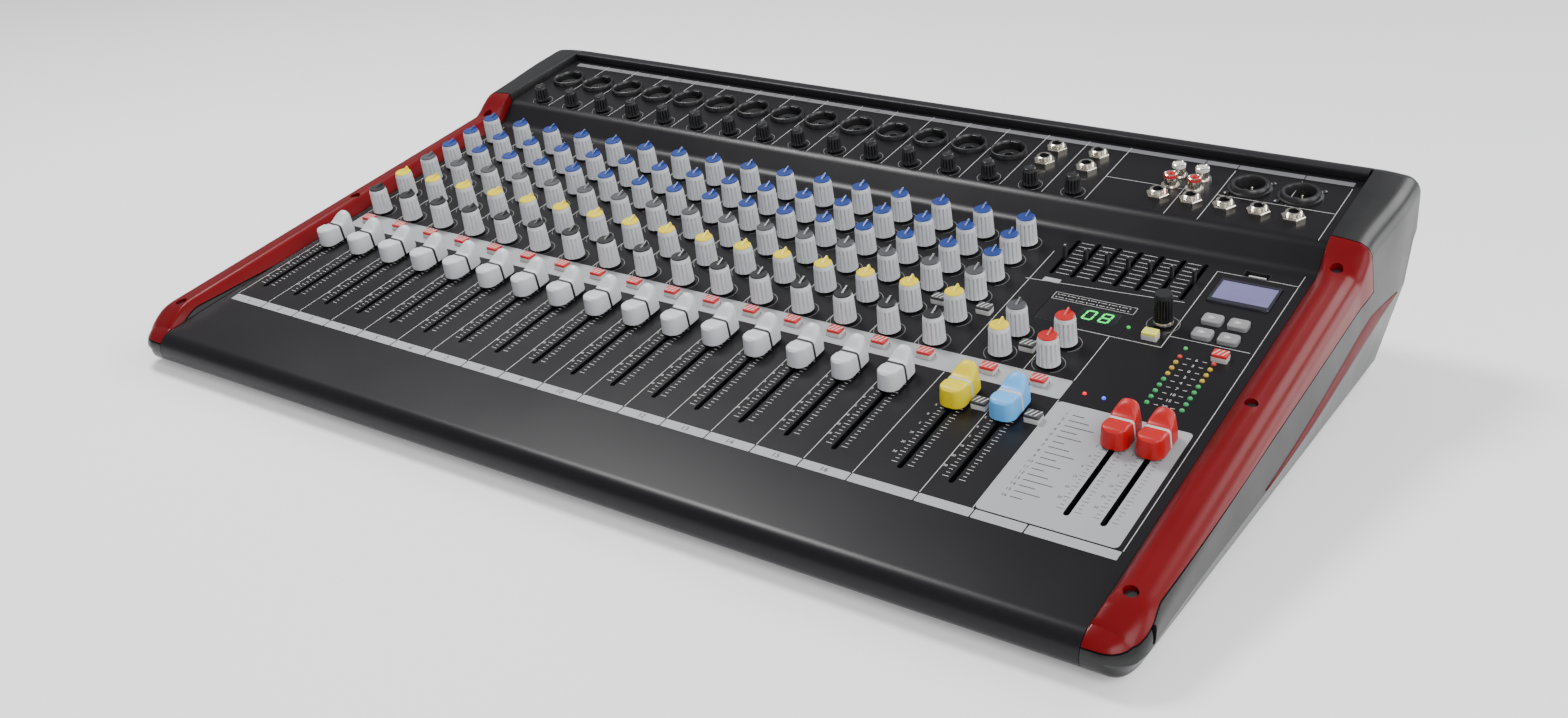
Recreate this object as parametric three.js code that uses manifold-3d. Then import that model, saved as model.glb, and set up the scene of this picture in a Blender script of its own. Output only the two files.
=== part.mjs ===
// An eighteen-input live mixing console, as the pieces it comes apart into on a bench.
// Millimetres. +X runs along the channels from left to right, +Y from the user to the back, +Z up.
// The origin is on the surface the console stands on, under the middle of its bounding box.
import * as THREE from "three";
import { mergeVertices } from "three/addons/utils/BufferGeometryUtils.js";
import Module from "manifold-3d";

const wasm = await Module();
wasm.setup();

// ---- Driving dimensions ------------------------------------------------------------------
const channelPitch = 27.5; // from one channel strip to the next
const channelCount = 16; // 14 microphone channels and 2 stereo channels
const microphoneCount = 14;
const masterWidth = 135.6; // printed width of the master section, right of the channels
const printMargin = 5.2; // bare panel between the print and the end shells
const deckTilt = THREE.MathUtils.degToRad(11); // how far the control deck leans towards the user
const sheet = 1.5; // folded steel sheet
const clearance = 0.3; // between pieces that touch
const bite = 0.5; // how far the shapes within one piece run into each other
const footHeight = 4;
const footRadius = 9;
const noseRadius = 9.8; // half-round front edge
const frontApron = 42.6; // bare panel in front of the label strip

// Along the deck, counted from the front line of the label strip.
const faderTravel = 60;
const faderEndMargin = 3.5; // slot left over at each end of the travel
const slotFront = 18.6;
const slotWidth = 3;
const buttonRowGap = 23; // slot's far end to the cue buttons
const panRowGap = 14.6; // cue buttons to the pan knobs
const sendRowPitch = 24.2; // pan, effects and auxiliary knobs
const toneRowPitch = 21.4; // low, middle and high tone knobs
const riserGap = 22.7; // high tone knobs to the foot of the riser
const riserRun = 15.1;
const riserRise = 12.1;
const gainRowGap = 8.2; // front of the connector deck to the gain knobs
const comboRowGap = 34.5; // gain knobs to the microphone sockets
const backGap = 33; // microphone sockets to the back of the connector deck
const frameDepth = 9.6; // rear frame, front to back
const frameRise = 5.5; // rear frame above the connector deck

// Rear wall
const rearBulge = 16.9; // furthest point behind the frame's back edge
const rearShoulder = 19.7; // height of that rounded shoulder
const rearUndercut = 30.3; // how far the wall's foot stands in front of the shoulder
const rearHip = 6; // a point under the shoulder, in front of it
const rearHipHeight = 70; // and above the console's underside
const rearWaist = 23.5; // top of the flat lower wall, in front of the shoulder
const rearWaistHeight = 50;

// End shells and red cheeks
const cheekWidth = 24; // flat width, inner edge to the top outer edge
const cheekRise = 7.5; // red cheek above the deck
const cheekEdgeRadius = 9;
const cornerRadius = 20; // front and back corners, seen from above
const creaseBulge = 5.2; // side crease beyond the top edge
const sideUndercut = 4.5; // bottom edge inside the top edge
const shellWall = 3;
const partingFront = -4.5; // parting line between cheek and shell, above the deck, on the nose
const partingSide = 3; // the same where it has come round the front corner
const partingTurn = 24; // how far behind the nose that is
const partingBack = -12.4; // the same at the back
const cheekScrewRadius = 3.4;

// Controls
const knobHeight = 19.7; // top of a knob above the deck
const knobRadius = 6.4;
const knobGap = 1.2; // under a knob's skirt
const gainKnobHeight = 12.6;
const gainKnobRadius = 5.2;
const shaftWidth = 4.4;
const capLength = 26;
const capWidth = 13;
const capHeight = 16.5;
const mainCapWidth = 15;
const capGap = 1.6; // under a fader cap
const leverWidth = 1.8;
const leverLength = 4;
const bandCount = 7; // graphic equaliser sliders
const bandPitch = 12.57;
const bandTravel = 30;
const bandEndMargin = 5; // slot left over at each end of that travel
const buttonWidth = 8.5;
const buttonDepth = 6.5;
const buttonHeight = 4.2;
const buttonTravel = 1.5;
const buttonStem = 4; // below the deck
const effectsRoutingGap = 0.85; // between a master fader's cap and the button beside it
const playerRoutingGap = 2.25;
const keyWidth = 11;
const keyDepth = 9;

// Sockets
const comboBarrelRadius = 10.2;
const comboFlange = 1.8; // beyond the barrel
const barrelSides = 8;
const comboHeight = 5;
const socketDepth = 18; // barrel under the connector deck
const jackBore = 3.52; // across the corners of an eight-sided bore
const jackCollarRadius = 4.7;
const jackHeight = 5;
const jackNutRadius = 7.3;
const jackPitch = 19.66;

// Mains inlet, with its switch, low on the rear wall behind the first channels
const inletWidth = 38;
const inletHeight = 27;
const inletFoot = 12; // above the console's underside
const inletFlange = 3;
const inletDepth = 18;
const inletInset = 60; // from the panel's end
const rockerWidth = 9;
const rockerHeight = 15;
const rockerTilt = 0.12; // radians

// Boards
const boardThickness = 1.6;
const boardDepth = 16; // underside of the main board below the deck
const potDepth = 6; // knob boards below the deck

// ---- Worked-out sizes
const shaftHole = shaftWidth * Math.SQRT2 + 0.2;
const comboRadius = comboBarrelRadius + comboFlange;
const cupRadius = comboBarrelRadius - comboFlange;
const potFloor = -potDepth - boardThickness;
const boardTop = boardThickness - boardDepth;

// ---- Worked-out places ---------------------------------------------------------------------
const channelsLeft = -(channelPitch * channelCount + masterWidth) / 2;
const masterLeft = channelsLeft + channelPitch * channelCount;
const printRight = masterLeft + masterWidth;
const panelHalf = printRight + printMargin;
const slotLength = faderTravel + 2 * faderEndMargin;
const bandSlotLength = bandTravel + 2 * bandEndMargin;
const slotBack = slotFront + slotLength;
const faderRest = slotFront + faderEndMargin + faderTravel; // faders stand fully up
const buttonRow = slotBack + buttonRowGap;
const panRow = buttonRow + panRowGap;
const effectsRow = panRow + sendRowPitch;
const auxRow = effectsRow + sendRowPitch;
const lowRow = auxRow + toneRowPitch;
const midRow = lowRow + toneRowPitch;
const highRow = midRow + toneRowPitch;
const riserFoot = highRow + riserGap;
const connectorFront = riserFoot + riserRun;
const gainRow = connectorFront + gainRowGap;
const comboRow = gainRow + comboRowGap;
const connectorBack = comboRow + backGap;
const frameTop = riserRise + frameRise;
const frameBack = connectorBack + frameDepth;
const bandRow = riserFoot - 29.3;
const jackRow = comboRow - 22.5;
const masterKnobRow = panRow + 3.4;

const sin = Math.sin(deckTilt);
const cos = Math.cos(deckTilt);
// A deck point (along the deck, above the deck) in an upright frame with the same origin.
const upright = (v, n) => [v * cos - n * sin, v * sin + n * cos];
const [noseY, noseZ] = upright(-frontApron, -noseRadius);
const [frameBackY, frameBackZ] = upright(frameBack, frameTop);
const baseZ = noseZ - noseRadius;
const frontY = noseY - noseRadius;
const rearY = frameBackY + rearBulge;
const deckY = -(frontY + rearY) / 2;
const deckZ = footHeight - baseZ;
// An upright point in the deck's frame.
const onDeck = (y, z) => [y * cos + z * sin, z * cos - y * sin];

// ---- Shapes ----------------------------------------------------------------------------------
const X = new THREE.Vector3(1, 0, 0);
const Y = new THREE.Vector3(0, 1, 0);
const Z = new THREE.Vector3(0, 0, 1);

function box(width, depth, height, x, y, bottom) {
  return new THREE.BoxGeometry(width, depth, height).translate(x, y, bottom + height / 2);
}

// An upright round bar, or a cone if the radii differ, standing on bottom.
function bar(topRadius, bottomRadius, height, sides, x, y, bottom) {
  return new THREE.CylinderGeometry(topRadius, bottomRadius, height, sides)
    .rotateX(Math.PI / 2)
    .translate(x, y, bottom + height / 2);
}

// An outline of [y, z] points, carried along X from one place to another.
function alongX(outline, from, to) {
  const shape = new THREE.Shape(outline.map(([y, z]) => new THREE.Vector2(y, z)));
  return new THREE.ExtrudeGeometry(shape, { depth: to - from, bevelEnabled: false })
    .applyMatrix4(new THREE.Matrix4().makeBasis(Y, Z, X))
    .translate(from, 0, 0);
}

// An outline of [x, y] points, carried up from one height to another.
function alongZ(outline, from, to) {
  const shape = new THREE.Shape(outline.map(([x, y]) => new THREE.Vector2(x, y)));
  return new THREE.ExtrudeGeometry(shape, { depth: to - from, bevelEnabled: false }).translate(0, 0, from);
}

// Points on an arc, from one angle to another in radians.
function arc(y, z, radius, from, to, steps) {
  return Array.from({ length: steps + 1 }, (_, i) => {
    const angle = from + ((to - from) * i) / steps;
    return [y + radius * Math.cos(angle), z + radius * Math.sin(angle)];
  });
}

// The outline of a sheet that follows a path, with its thickness on the path's right side.
function folded(path, thickness) {
  const inner = path.map(([y, z], i) => {
    const before = path[Math.max(i - 1, 0)];
    const after = path[Math.min(i + 1, path.length - 1)];
    const [ay, az] = i ? unit(y - before[0], z - before[1]) : unit(after[0] - y, after[1] - z);
    const [by, bz] = i < path.length - 1 ? unit(after[0] - y, after[1] - z) : [ay, az];
    const mitre = thickness / (1 + ay * by + az * bz);
    return [y + (az + bz) * mitre, z - (ay + by) * mitre];
  });
  return [...inner, ...[...path].reverse()];
}

function unit(y, z) {
  const length = Math.hypot(y, z);
  return [y / length, z / length];
}

// A closed body through cross-sections, each a ring of THREE.Vector3 with the same number of points.
function loft(rings) {
  const count = rings[0].length;
  const points = rings.flat();
  const faces = [];
  for (let r = 0; r < rings.length - 1; r++) {
    for (let i = 0; i < count; i++) {
      const a = r * count + i;
      const b = r * count + ((i + 1) % count);
      faces.push(a, b + count, b, a, a + count, b + count);
    }
  }
  const flat = rings[0].map((p) => new THREE.Vector2(p.x, p.z));
  const last = (rings.length - 1) * count;
  for (const [a, b, c] of THREE.ShapeUtils.triangulateShape(flat, [])) {
    faces.push(a, b, c, last + a, last + c, last + b);
  }
  const geometry = new THREE.BufferGeometry().setFromPoints(points);
  geometry.setIndex(faces);
  return geometry;
}

// ---- Solids ----------------------------------------------------------------------------------
function solid(geometry) {
  const bare = geometry.clone();
  bare.deleteAttribute("normal");
  bare.deleteAttribute("uv");
  const merged = mergeVertices(bare, 1e-4);
  const made = new wasm.Manifold(
    new wasm.Mesh({
      numProp: 3,
      vertProperties: merged.attributes.position.array,
      triVerts: new Uint32Array(merged.index.array),
    }),
  );
  return made;
}

const joined = (geometries) => geometries.map(solid).reduce((a, b) => a.add(b));
const without = (body, geometries) => geometries.map(solid).reduce((a, b) => a.subtract(b), body);

function surface(body) {
  const mesh = body.getMesh();
  const places = new Float32Array(mesh.numVert * 3);
  for (let i = 0; i < mesh.numVert; i++) {
    places.set(mesh.vertProperties.subarray(i * mesh.numProp, i * mesh.numProp + 3), i * 3);
  }
  const geometry = new THREE.BufferGeometry();
  geometry.setAttribute("position", new THREE.BufferAttribute(places, 3));
  geometry.setIndex(new THREE.BufferAttribute(mesh.triVerts, 1));
  geometry.computeVertexNormals();
  return geometry;
}

// ---- Materials -------------------------------------------------------------------------------
const finish = (color, roughness, metalness = 0) =>
  new THREE.MeshStandardMaterial({ color, roughness, metalness });
const blackSteel = finish(0x1c1a1d, 0.5, 0.3);
const blackPlastic = finish(0x222224, 0.55);
const redPlastic = finish(0x9a0f16, 0.3);
const knobGrey = finish(0xc3c5c9, 0.55);
const knobBlack = finish(0x131313, 0.45);
const capYellow = finish(0xf5dc3c, 0.5);
const capBlue = finish(0x74b6ea, 0.5);
const capRed = finish(0xe6301f, 0.5);
const buttonRed = finish(0xd8352b, 0.5);
const keyGrey = finish(0x8f9092, 0.55);
const tapYellow = finish(0xe9e35a, 0.5);
const nickel = finish(0xc9c2b0, 0.3, 0.9);
const circuitGreen = finish(0x1f5a36, 0.6);
const transformerTape = finish(0x2b2b2e, 0.6);
const screenGlass = finish(0x9c98b4, 0.15);
const displayGlass = finish(0x16241c, 0.15);
const footRubber = finish(0x101010, 0.9);

// ---- Scene graph -----------------------------------------------------------------------------
const console18 = new THREE.Group();
const chassis = new THREE.Group(); // upright frame with the deck's origin
chassis.position.set(0, deckY, deckZ);
const deck = new THREE.Group(); // leaning frame: y runs up the deck, z stands out of it
deck.rotation.x = deckTilt;
chassis.add(deck);
console18.add(chassis);

function add(parent, name, shape, material, x = 0, y = 0, z = 0) {
  const geometry = shape.isBufferGeometry ? shape : surface(shape);
  const mesh = new THREE.Mesh(geometry, material);
  mesh.name = name;
  mesh.position.set(x, y, z);
  parent.add(mesh);
  return mesh;
}

// ---- Where the controls stand on the deck: [x, y] --------------------------------------------
const columnShare = 0.33; // a channel's knobs and fader stand left of its middle
const column = (k) => channelsLeft + (k + columnShare) * channelPitch;
const channels = Array.from({ length: channelCount }, (_, k) => k);
const effectsColumn = masterLeft + 18.2;
const playerColumn = masterLeft + 45.5;
const mainLeft = masterLeft + 103.1;
const mainRight = masterLeft + 120.8;
const masterKnobs = {
  effects_return_knob: [effectsColumn, masterKnobRow],
  effects_aux_knob: [effectsColumn, effectsRow],
  player_level_knob: [playerColumn, masterKnobRow],
  headphone_level_knob: [playerColumn, effectsRow],
};
const encoder = [masterLeft + 84.4, lowRow - 9.8];
const displayCentre = [masterLeft + 43.3, lowRow - 14.4];
const displaySize = [49, 30];
const screenCentre = [masterLeft + 112.9, riserFoot - 33];
const screenSize = [34, 25];
const usbPort = [masterLeft + 112.2, riserFoot - 11];
const usbSize = [15, 7];
const phantomPlace = [masterLeft + 122.1, auxRow - 8.5];
const tapPlace = [masterLeft + 83, auxRow - 2.7];
const keyPlaces = [0, 1].flatMap((i) =>
  [0, 1].map((j) => [masterLeft + 106.4 + 13.8 * i, lowRow - 12.6 + 14.9 * j]),
);
const meterBars = [mainLeft, mainRight];
const meterFront = buttonRow + 2.8;
const meterLength = 48;
const meterWidth = 3.6;
const bandFirst = masterLeft + 8.3;
const bands = Array.from({ length: bandCount }, (_, i) => bandFirst + i * bandPitch);
const cuePlaces = [
  ...channels.map((k) => [column(k) + 2.5, buttonRow]),
  [effectsColumn + 2.4, buttonRow],
  [playerColumn + 3.2, buttonRow],
];
const besideCap = (mainCapWidth + buttonWidth) / 2;
const routingPlaces = [
  [effectsColumn + besideCap + effectsRoutingGap, slotBack - 6.4],
  [playerColumn + besideCap + playerRoutingGap, slotBack - 6.4],
  [effectsColumn + 11.7, panRow + 12.1],
];
const stereoPlaces = channels.slice(microphoneCount).map((k) => [column(k) + 11.2, effectsRow + 12.2]);
const comboPlaces = channels
  .slice(0, microphoneCount)
  .map((k) => [channelsLeft + (k + 0.5) * channelPitch, comboRow]);
const gainPlaces = channels.map((k) => [channelsLeft + (k + 0.63) * channelPitch, gainRow]);
const firstJack = masterLeft + 37.4;
const stereoRows = [comboRow - 5.2, comboRow + 13.2];
const jackPlaces = [
  ...channels
    .slice(microphoneCount)
    .flatMap((k) => stereoRows.map((y) => [channelsLeft + (k + 0.47) * channelPitch, y])),
  ...Array.from({ length: 5 }, (_, i) => [firstJack + i * jackPitch, jackRow]),
];
const phonoPlaces = [0, 14.3].flatMap((dx) =>
  [comboRow - 8.4, comboRow + 5].map((y) => [masterLeft + 39.6 + dx, y]),
);
const xlrPlaces = [82.8, 111.9].map((dx) => [masterLeft + dx, comboRow + 3.3]);
const faders = [
  ...channels.map((k) => ({
    name: `channel_${String(k + 1).padStart(2, "0")}_fader`,
    x: column(k),
    width: capWidth,
    material: knobGrey,
  })),
  { name: "effects_fader", x: effectsColumn, width: mainCapWidth, material: capYellow },
  { name: "player_fader", x: playerColumn, width: mainCapWidth, material: capBlue },
  { name: "main_left_fader", x: mainLeft, width: mainCapWidth, material: capRed },
  { name: "main_right_fader", x: mainRight, width: mainCapWidth, material: capRed },
];

// ---- Top panel: one folded sheet, from under the nose to the back of the connector deck -------
const noseSteps = 8;
const noseArc = arc(-frontApron, -noseRadius, noseRadius, 1.5 * Math.PI - deckTilt, Math.PI / 2, noseSteps);
const deckPath = [
  ...noseArc,
  [riserFoot, 0],
  [connectorFront, riserRise],
  [connectorBack, riserRise],
];
const through = 3 * sheet;
const opening = (width, depth, [x, y], level = 0) =>
  box(width, depth, 2 * through, x, y, level - through);
const drilling = (radius, sides, [x, y], level = 0) =>
  bar(radius, radius, 2 * through, sides, x, y, level - through);
const toneRows = [lowRow, midRow, highRow];
const sendRows = [panRow, effectsRow, auxRow];
const holeFit = 2 * clearance;
const topPanelCuts = [
  ...faders.map(({ x }) => opening(slotWidth, slotLength, [x, slotFront + slotLength / 2])),
  ...bands.map((x) => opening(slotWidth, bandSlotLength, [x, bandRow])),
  ...channels.flatMap((k) =>
    [...sendRows, ...toneRows].map((y) => opening(shaftHole, shaftHole, [column(k), y])),
  ),
  ...Object.values(masterKnobs).map((place) => opening(shaftHole, shaftHole, place)),
  opening(shaftHole, shaftHole, encoder),
  ...[...cuePlaces, ...routingPlaces, ...stereoPlaces, phantomPlace, tapPlace].map((place) =>
    opening(buttonWidth + holeFit, buttonDepth + holeFit, place),
  ),
  ...keyPlaces.map((place) => opening(keyWidth + holeFit, keyDepth + holeFit, place)),
  opening(displaySize[0] + holeFit, displaySize[1] + holeFit, displayCentre),
  opening(screenSize[0] + holeFit, screenSize[1] + holeFit, screenCentre),
  opening(usbSize[0] + holeFit, usbSize[1] + holeFit, usbPort),
  ...meterBars.map((x) =>
    opening(meterWidth + holeFit, meterLength + holeFit, [x, meterFront + meterLength / 2]),
  ),
  ...gainPlaces.map((place) => opening(shaftHole, shaftHole, place, riserRise)),
  ...comboPlaces.map((place) => drilling(comboBarrelRadius + 2 * clearance, barrelSides, place, riserRise)),
  ...jackPlaces.map((place) => drilling(jackCollarRadius + 2 * clearance, 8, place, riserRise)),
  ...phonoPlaces.map((place) => drilling(jackCollarRadius + 2 * clearance, 8, place, riserRise)),
  ...xlrPlaces.map((place) => drilling(comboBarrelRadius + 2 * clearance, barrelSides, place, riserRise)),
];
add(
  deck,
  "top_panel",
  without(solid(alongX(folded(deckPath, sheet), -panelHalf, panelHalf)), topPanelCuts),
  blackSteel,
);

// ---- Bottom tray and rear cover, both folded from sheet --------------------------------------
const wallFootY = rearY - rearUndercut;
const inletX = -panelHalf + inletInset;
const shoulderZ = frameBackZ - rearShoulder;
const frameCornerRadius = 4;
const wallLean = Math.atan2(rearUndercut - rearWaist, rearWaistHeight);
// The rounded shoulder that leads from the frame's top down to the rear wall.
const shoulderTurn = new THREE.QuadraticBezierCurve(
  new THREE.Vector2(frameBackY - frameCornerRadius * cos, frameBackZ - frameCornerRadius * sin),
  new THREE.Vector2(rearY - 1, frameBackZ - 2),
  new THREE.Vector2(rearY, shoulderZ),
);
const shoulderSteps = 5;
const rearProfile = [
  ...shoulderTurn.getPoints(shoulderSteps).map((p) => [p.x, p.y]),
  [rearY - rearHip, baseZ + rearHipHeight],
  [rearY - rearWaist, baseZ + rearWaistHeight],
  [wallFootY, baseZ],
];
const frameLip = [riserRise - 4, frameTop].map((n) => upright(connectorBack + clearance, n));
add(
  chassis,
  "rear_cover",
  without(
    solid(alongX(folded([...frameLip, ...rearProfile], sheet), -panelHalf, panelHalf)),
    [box(inletWidth + holeFit, 200, inletHeight + holeFit, inletX, rearY, baseZ + inletFoot - clearance)],
  ),
  blackSteel,
);
// The tray's floor and its two sides, which stop just under the top panel.
const trayFront = noseY + sheet;
const trayBack = wallFootY - sheet - 1;
const under = -sheet - clearance;
const mitre = -under * Math.tan(Math.atan2(riserRise, riserRun) / 2);
const sideOutline = [
  [trayFront, baseZ],
  upright(-frontApron, under),
  upright(riserFoot + mitre, under),
  upright(connectorFront + mitre, riserRise + under),
  upright(connectorBack, riserRise + under),
  [rearY - rearWaist - 3 * sheet, baseZ + rearWaistHeight],
  [trayBack, baseZ],
];
add(
  chassis,
  "bottom_tray",
  joined([
    box(2 * panelHalf, trayBack - trayFront, sheet, 0, (trayFront + trayBack) / 2, baseZ),
    alongX(sideOutline, -panelHalf, sheet - panelHalf),
    alongX(sideOutline, panelHalf - sheet, panelHalf),
  ]),
  blackSteel,
);

// ---- End shells and red cheeks -----------------------------------------------------------------
const shellInner = panelHalf + clearance;
const cheekOuter = shellInner + cheekWidth;
const crease = cheekOuter + creaseBulge;
const shellBottom = cheekOuter - sideUndercut;

// The side view of the whole end, in the upright frame.
const uprightNose = arc(noseY, noseZ, noseRadius, 1.5 * Math.PI, 0.5 * Math.PI + deckTilt, noseSteps);
const cheekLift = 4; // how soon the cheek rises above the nose
const sideView = [
  ...uprightNose,
  upright(-frontApron + cheekLift, 2),
  upright(-frontApron + 5 * cheekLift, cheekRise),
  upright(riserFoot - 4, cheekRise),
  upright(connectorFront, frameTop),
  ...rearProfile,
];

// The same end from above, with round corners.
const planView = [
  [shellInner, frontY - 5],
  ...arc(crease - cornerRadius, frontY + cornerRadius, cornerRadius, -Math.PI / 2, 0, 5),
  ...arc(crease - cornerRadius, rearY - cornerRadius, cornerRadius, 0, Math.PI / 2, 5),
  [shellInner, rearY + 5],
];

// Its cross-section, at a place along the deck: the top edge is rounded, the side is creased.
function endRing(v, top, creaseShare) {
  const low = -160;
  const roof = arc(cheekOuter - cheekEdgeRadius, top - cheekEdgeRadius, cheekEdgeRadius, 0, Math.PI / 2, 4);
  const creaseX = cheekOuter + creaseBulge * creaseShare;
  const floor = onDeckFloor(v);
  const creaseN = floor + (top - floor) * 0.45;
  return [
    [shellInner, low],
    [shellBottom, low],
    [shellBottom, floor],
    [creaseX, creaseN],
    ...roof,
    [shellInner, top],
  ].map(([x, n]) => new THREE.Vector3(x, v, n));
}
// The height of the console's underside in the deck's frame, at a place along the deck.
const onDeckFloor = (v) => (baseZ - v * sin) / cos;
const endLoft = loft([
  endRing(-frontApron - 40, cheekRise, 0),
  endRing(riserFoot - 4, cheekRise, 0.8),
  endRing(connectorFront, frameTop, 1),
  endRing(frameBack + 60, frameTop, 1),
]);

// Inside, the end is hollow below the deck.
const hollow = [
  onDeck(noseY, baseZ + shellWall),
  [-frontApron, -shellWall - sheet],
  [riserFoot, -shellWall - sheet],
  [connectorFront, riserRise - shellWall - sheet],
  [connectorBack, riserRise - shellWall - sheet],
  onDeck(rearY - 2 * shellWall, shoulderZ),
  onDeck(wallFootY - shellWall, baseZ + shellWall),
];

const endBody = solid(alongX(sideView.map(([y, z]) => onDeck(y, z)), shellInner, crease + 1))
  .intersect(solid(alongZ(planView, -200, 200).rotateX(-deckTilt)))
  .intersect(solid(endLoft))
  .subtract(solid(alongX(hollow, shellInner - 1, shellBottom - shellWall)));

// Everything above the parting line and in front of the connector deck belongs to the red cheek.
const partingLine = (gap) => [
  [-frontApron - 60, partingFront + gap],
  [-frontApron - noseRadius / 2, partingFront + gap],
  [-frontApron + partingTurn, partingSide + gap],
  [connectorFront - gap, partingBack + gap],
  [connectorFront - gap, 60],
  [-frontApron - 60, 60],
];
const cheekSide = solid(alongX(partingLine(clearance), shellInner - 2, crease + 2));
const shellSide = solid(alongX(partingLine(0), shellInner - 2, crease + 2));
const screwPlaces = [-22.6, buttonRow + 14.6, riserFoot - 1.8];
const screwWells = screwPlaces.map((v) =>
  bar(cheekScrewRadius, cheekScrewRadius, 7, 10, shellInner + 10, v, cheekRise - 3.5),
);
const redCheek = without(endBody.intersect(cheekSide), screwWells);
const endShell = endBody.subtract(shellSide);
const mirrored = (body) => body.mirror([1, 0, 0]);
add(deck, "right_red_cheek", redCheek, redPlastic);
add(deck, "left_red_cheek", mirrored(redCheek), redPlastic);
add(deck, "right_end_shell", endShell, blackPlastic);
add(deck, "left_end_shell", mirrored(endShell), blackPlastic);

// ---- Feet --------------------------------------------------------------------------------------
const footX = panelHalf - 40;
const footFrontY = frontY + 40;
const footBackY = wallFootY - 30;
for (const [side, x] of [["left", -footX], ["right", footX]]) {
  for (const [end, y] of [["front", footFrontY], ["back", footBackY]]) {
    const foot = bar(footRadius, footRadius - 1, footHeight - 0.1, 12, 0, 0, 0);
    add(chassis, `${end}_${side}_foot`, foot, footRubber, x, y, baseZ - footHeight);
  }
}

// ---- Faders ------------------------------------------------------------------------------------
// A cap seen from the side: a low block in front, a waist, and a tall hump that rises to a round tip.
function capOutline(height) {
  const half = capLength / 2;
  const waist = 0.66 * height;
  const block = 0.77 * height;
  return [
    [-half, capGap],
    [half, capGap],
    [half - 0.6, 0.5 * height],
    [half - 1.6, 0.82 * height],
    [half - 3, height - 0.4],
    [half - 4.6, height],
    [half - 6.2, height - 0.8],
    [3.4, waist + 0.8],
    [1, waist],
    [-0.6, waist],
    [-3, waist + 1],
    [-half + 5, block],
    [-half + 1.6, block - 0.7],
    [-half + 0.3, 0.5 * height],
  ];
}
const leverDepth = 8;
for (const { name, x, width, material } of faders) {
  const cap = joined([
    alongX(capOutline(capHeight), -width / 2, width / 2),
    box(leverWidth, leverLength, leverDepth + capGap + 1, 0, 0, -leverDepth),
  ]);
  add(deck, name, cap, material, x, faderRest, 0);
}

// Graphic equaliser sliders: a flat lever with a thin white line in use.
const bandLeverHeight = 8;
bands.forEach((x, i) => {
  const lever = box(1.8, 3.6, bandLeverHeight + leverDepth, 0, 0, -leverDepth);
  add(deck, `equaliser_slider_${i + 1}`, lever, knobBlack, x, bandRow, 0);
});

// ---- Knobs -------------------------------------------------------------------------------------
// A knob on its shaft, at a place on the deck. The shaft reaches down to the board.
function knob([x, y], height, radius, sides, shaftDepth, level = 0) {
  const body = bar(0.86 * radius, radius, height - knobGap, sides, x, y, level + knobGap);
  const shaft = box(shaftWidth, shaftWidth, shaftDepth + knobGap + 1, x, y, level - shaftDepth);
  return [body, shaft];
}
const pointer = ([x, y], height, radius) => box(1.6, radius, 1.2, x, y + radius / 2, height - 0.6);

// The knobs of one board, with their potentiometers and the board itself.
function knobBank(rows, places) {
  const left = column(0) - 6;
  const right = column(channelCount - 1) + 14;
  const middle = (left + right) / 2;
  const front = Math.min(...rows) - 6;
  const back = Math.max(...rows) + 6;
  return joined([
    box(right - left, back - front, boardThickness, middle, (front + back) / 2, potFloor),
    ...places.flatMap((place) => knob(place, knobHeight, knobRadius, 8, potDepth + bite)),
  ]);
}
const grid = (rows) => rows.flatMap((y) => channels.map((k) => [column(k), y]));
add(deck, "tone_knob_bank", knobBank(toneRows, grid(toneRows)), knobGrey);
add(
  deck,
  "send_knob_bank",
  knobBank(sendRows, grid(sendRows)).add(
    joined(
      stereoPlaces.map(([x, y]) =>
        box(buttonWidth, buttonDepth, buttonHeight + potDepth + bite, x, y, -potDepth - bite),
      ),
    ),
  ),
  knobGrey,
);
const freeShaft = potDepth - 1;
for (const [name, place] of Object.entries(masterKnobs)) {
  const parts = [...knob([0, 0], knobHeight, knobRadius, 16, freeShaft), pointer([0, 0], knobHeight, 5.4)];
  add(deck, name, joined(parts), knobGrey, place[0], place[1], 0);
}
const encoderHeight = 19.5;
const encoderRadius = 5.4;
add(
  deck,
  "program_select_knob",
  joined(knob([0, 0], encoderHeight, encoderRadius, 16, freeShaft)),
  knobBlack,
  encoder[0],
  encoder[1],
  0,
);

// Gain knobs stand on the connector deck. The first turns by itself, the others share a board.
const gainDepth = 6;
const gainFloor = riserRise - gainDepth;
const movingGain = [
  ...knob([0, 0], gainKnobHeight, gainKnobRadius, 12, gainDepth - 1),
  pointer([0, 0], gainKnobHeight, 4.6),
];
add(deck, "channel_01_gain_knob", joined(movingGain), knobBlack, gainPlaces[0][0], gainRow, riserRise);
const gainLeft = gainPlaces[0][0] - 5;
const gainRight = gainPlaces[channelCount - 1][0] + 5;
add(
  deck,
  "gain_knob_row",
  joined([
    box(gainRight - gainLeft, 10, 2, (gainLeft + gainRight) / 2, gainRow, gainFloor - 2),
    ...gainPlaces
      .slice(1)
      .flatMap((place) => knob(place, gainKnobHeight, gainKnobRadius, 8, gainDepth + bite, riserRise)),
  ]),
  knobBlack,
);

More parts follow.
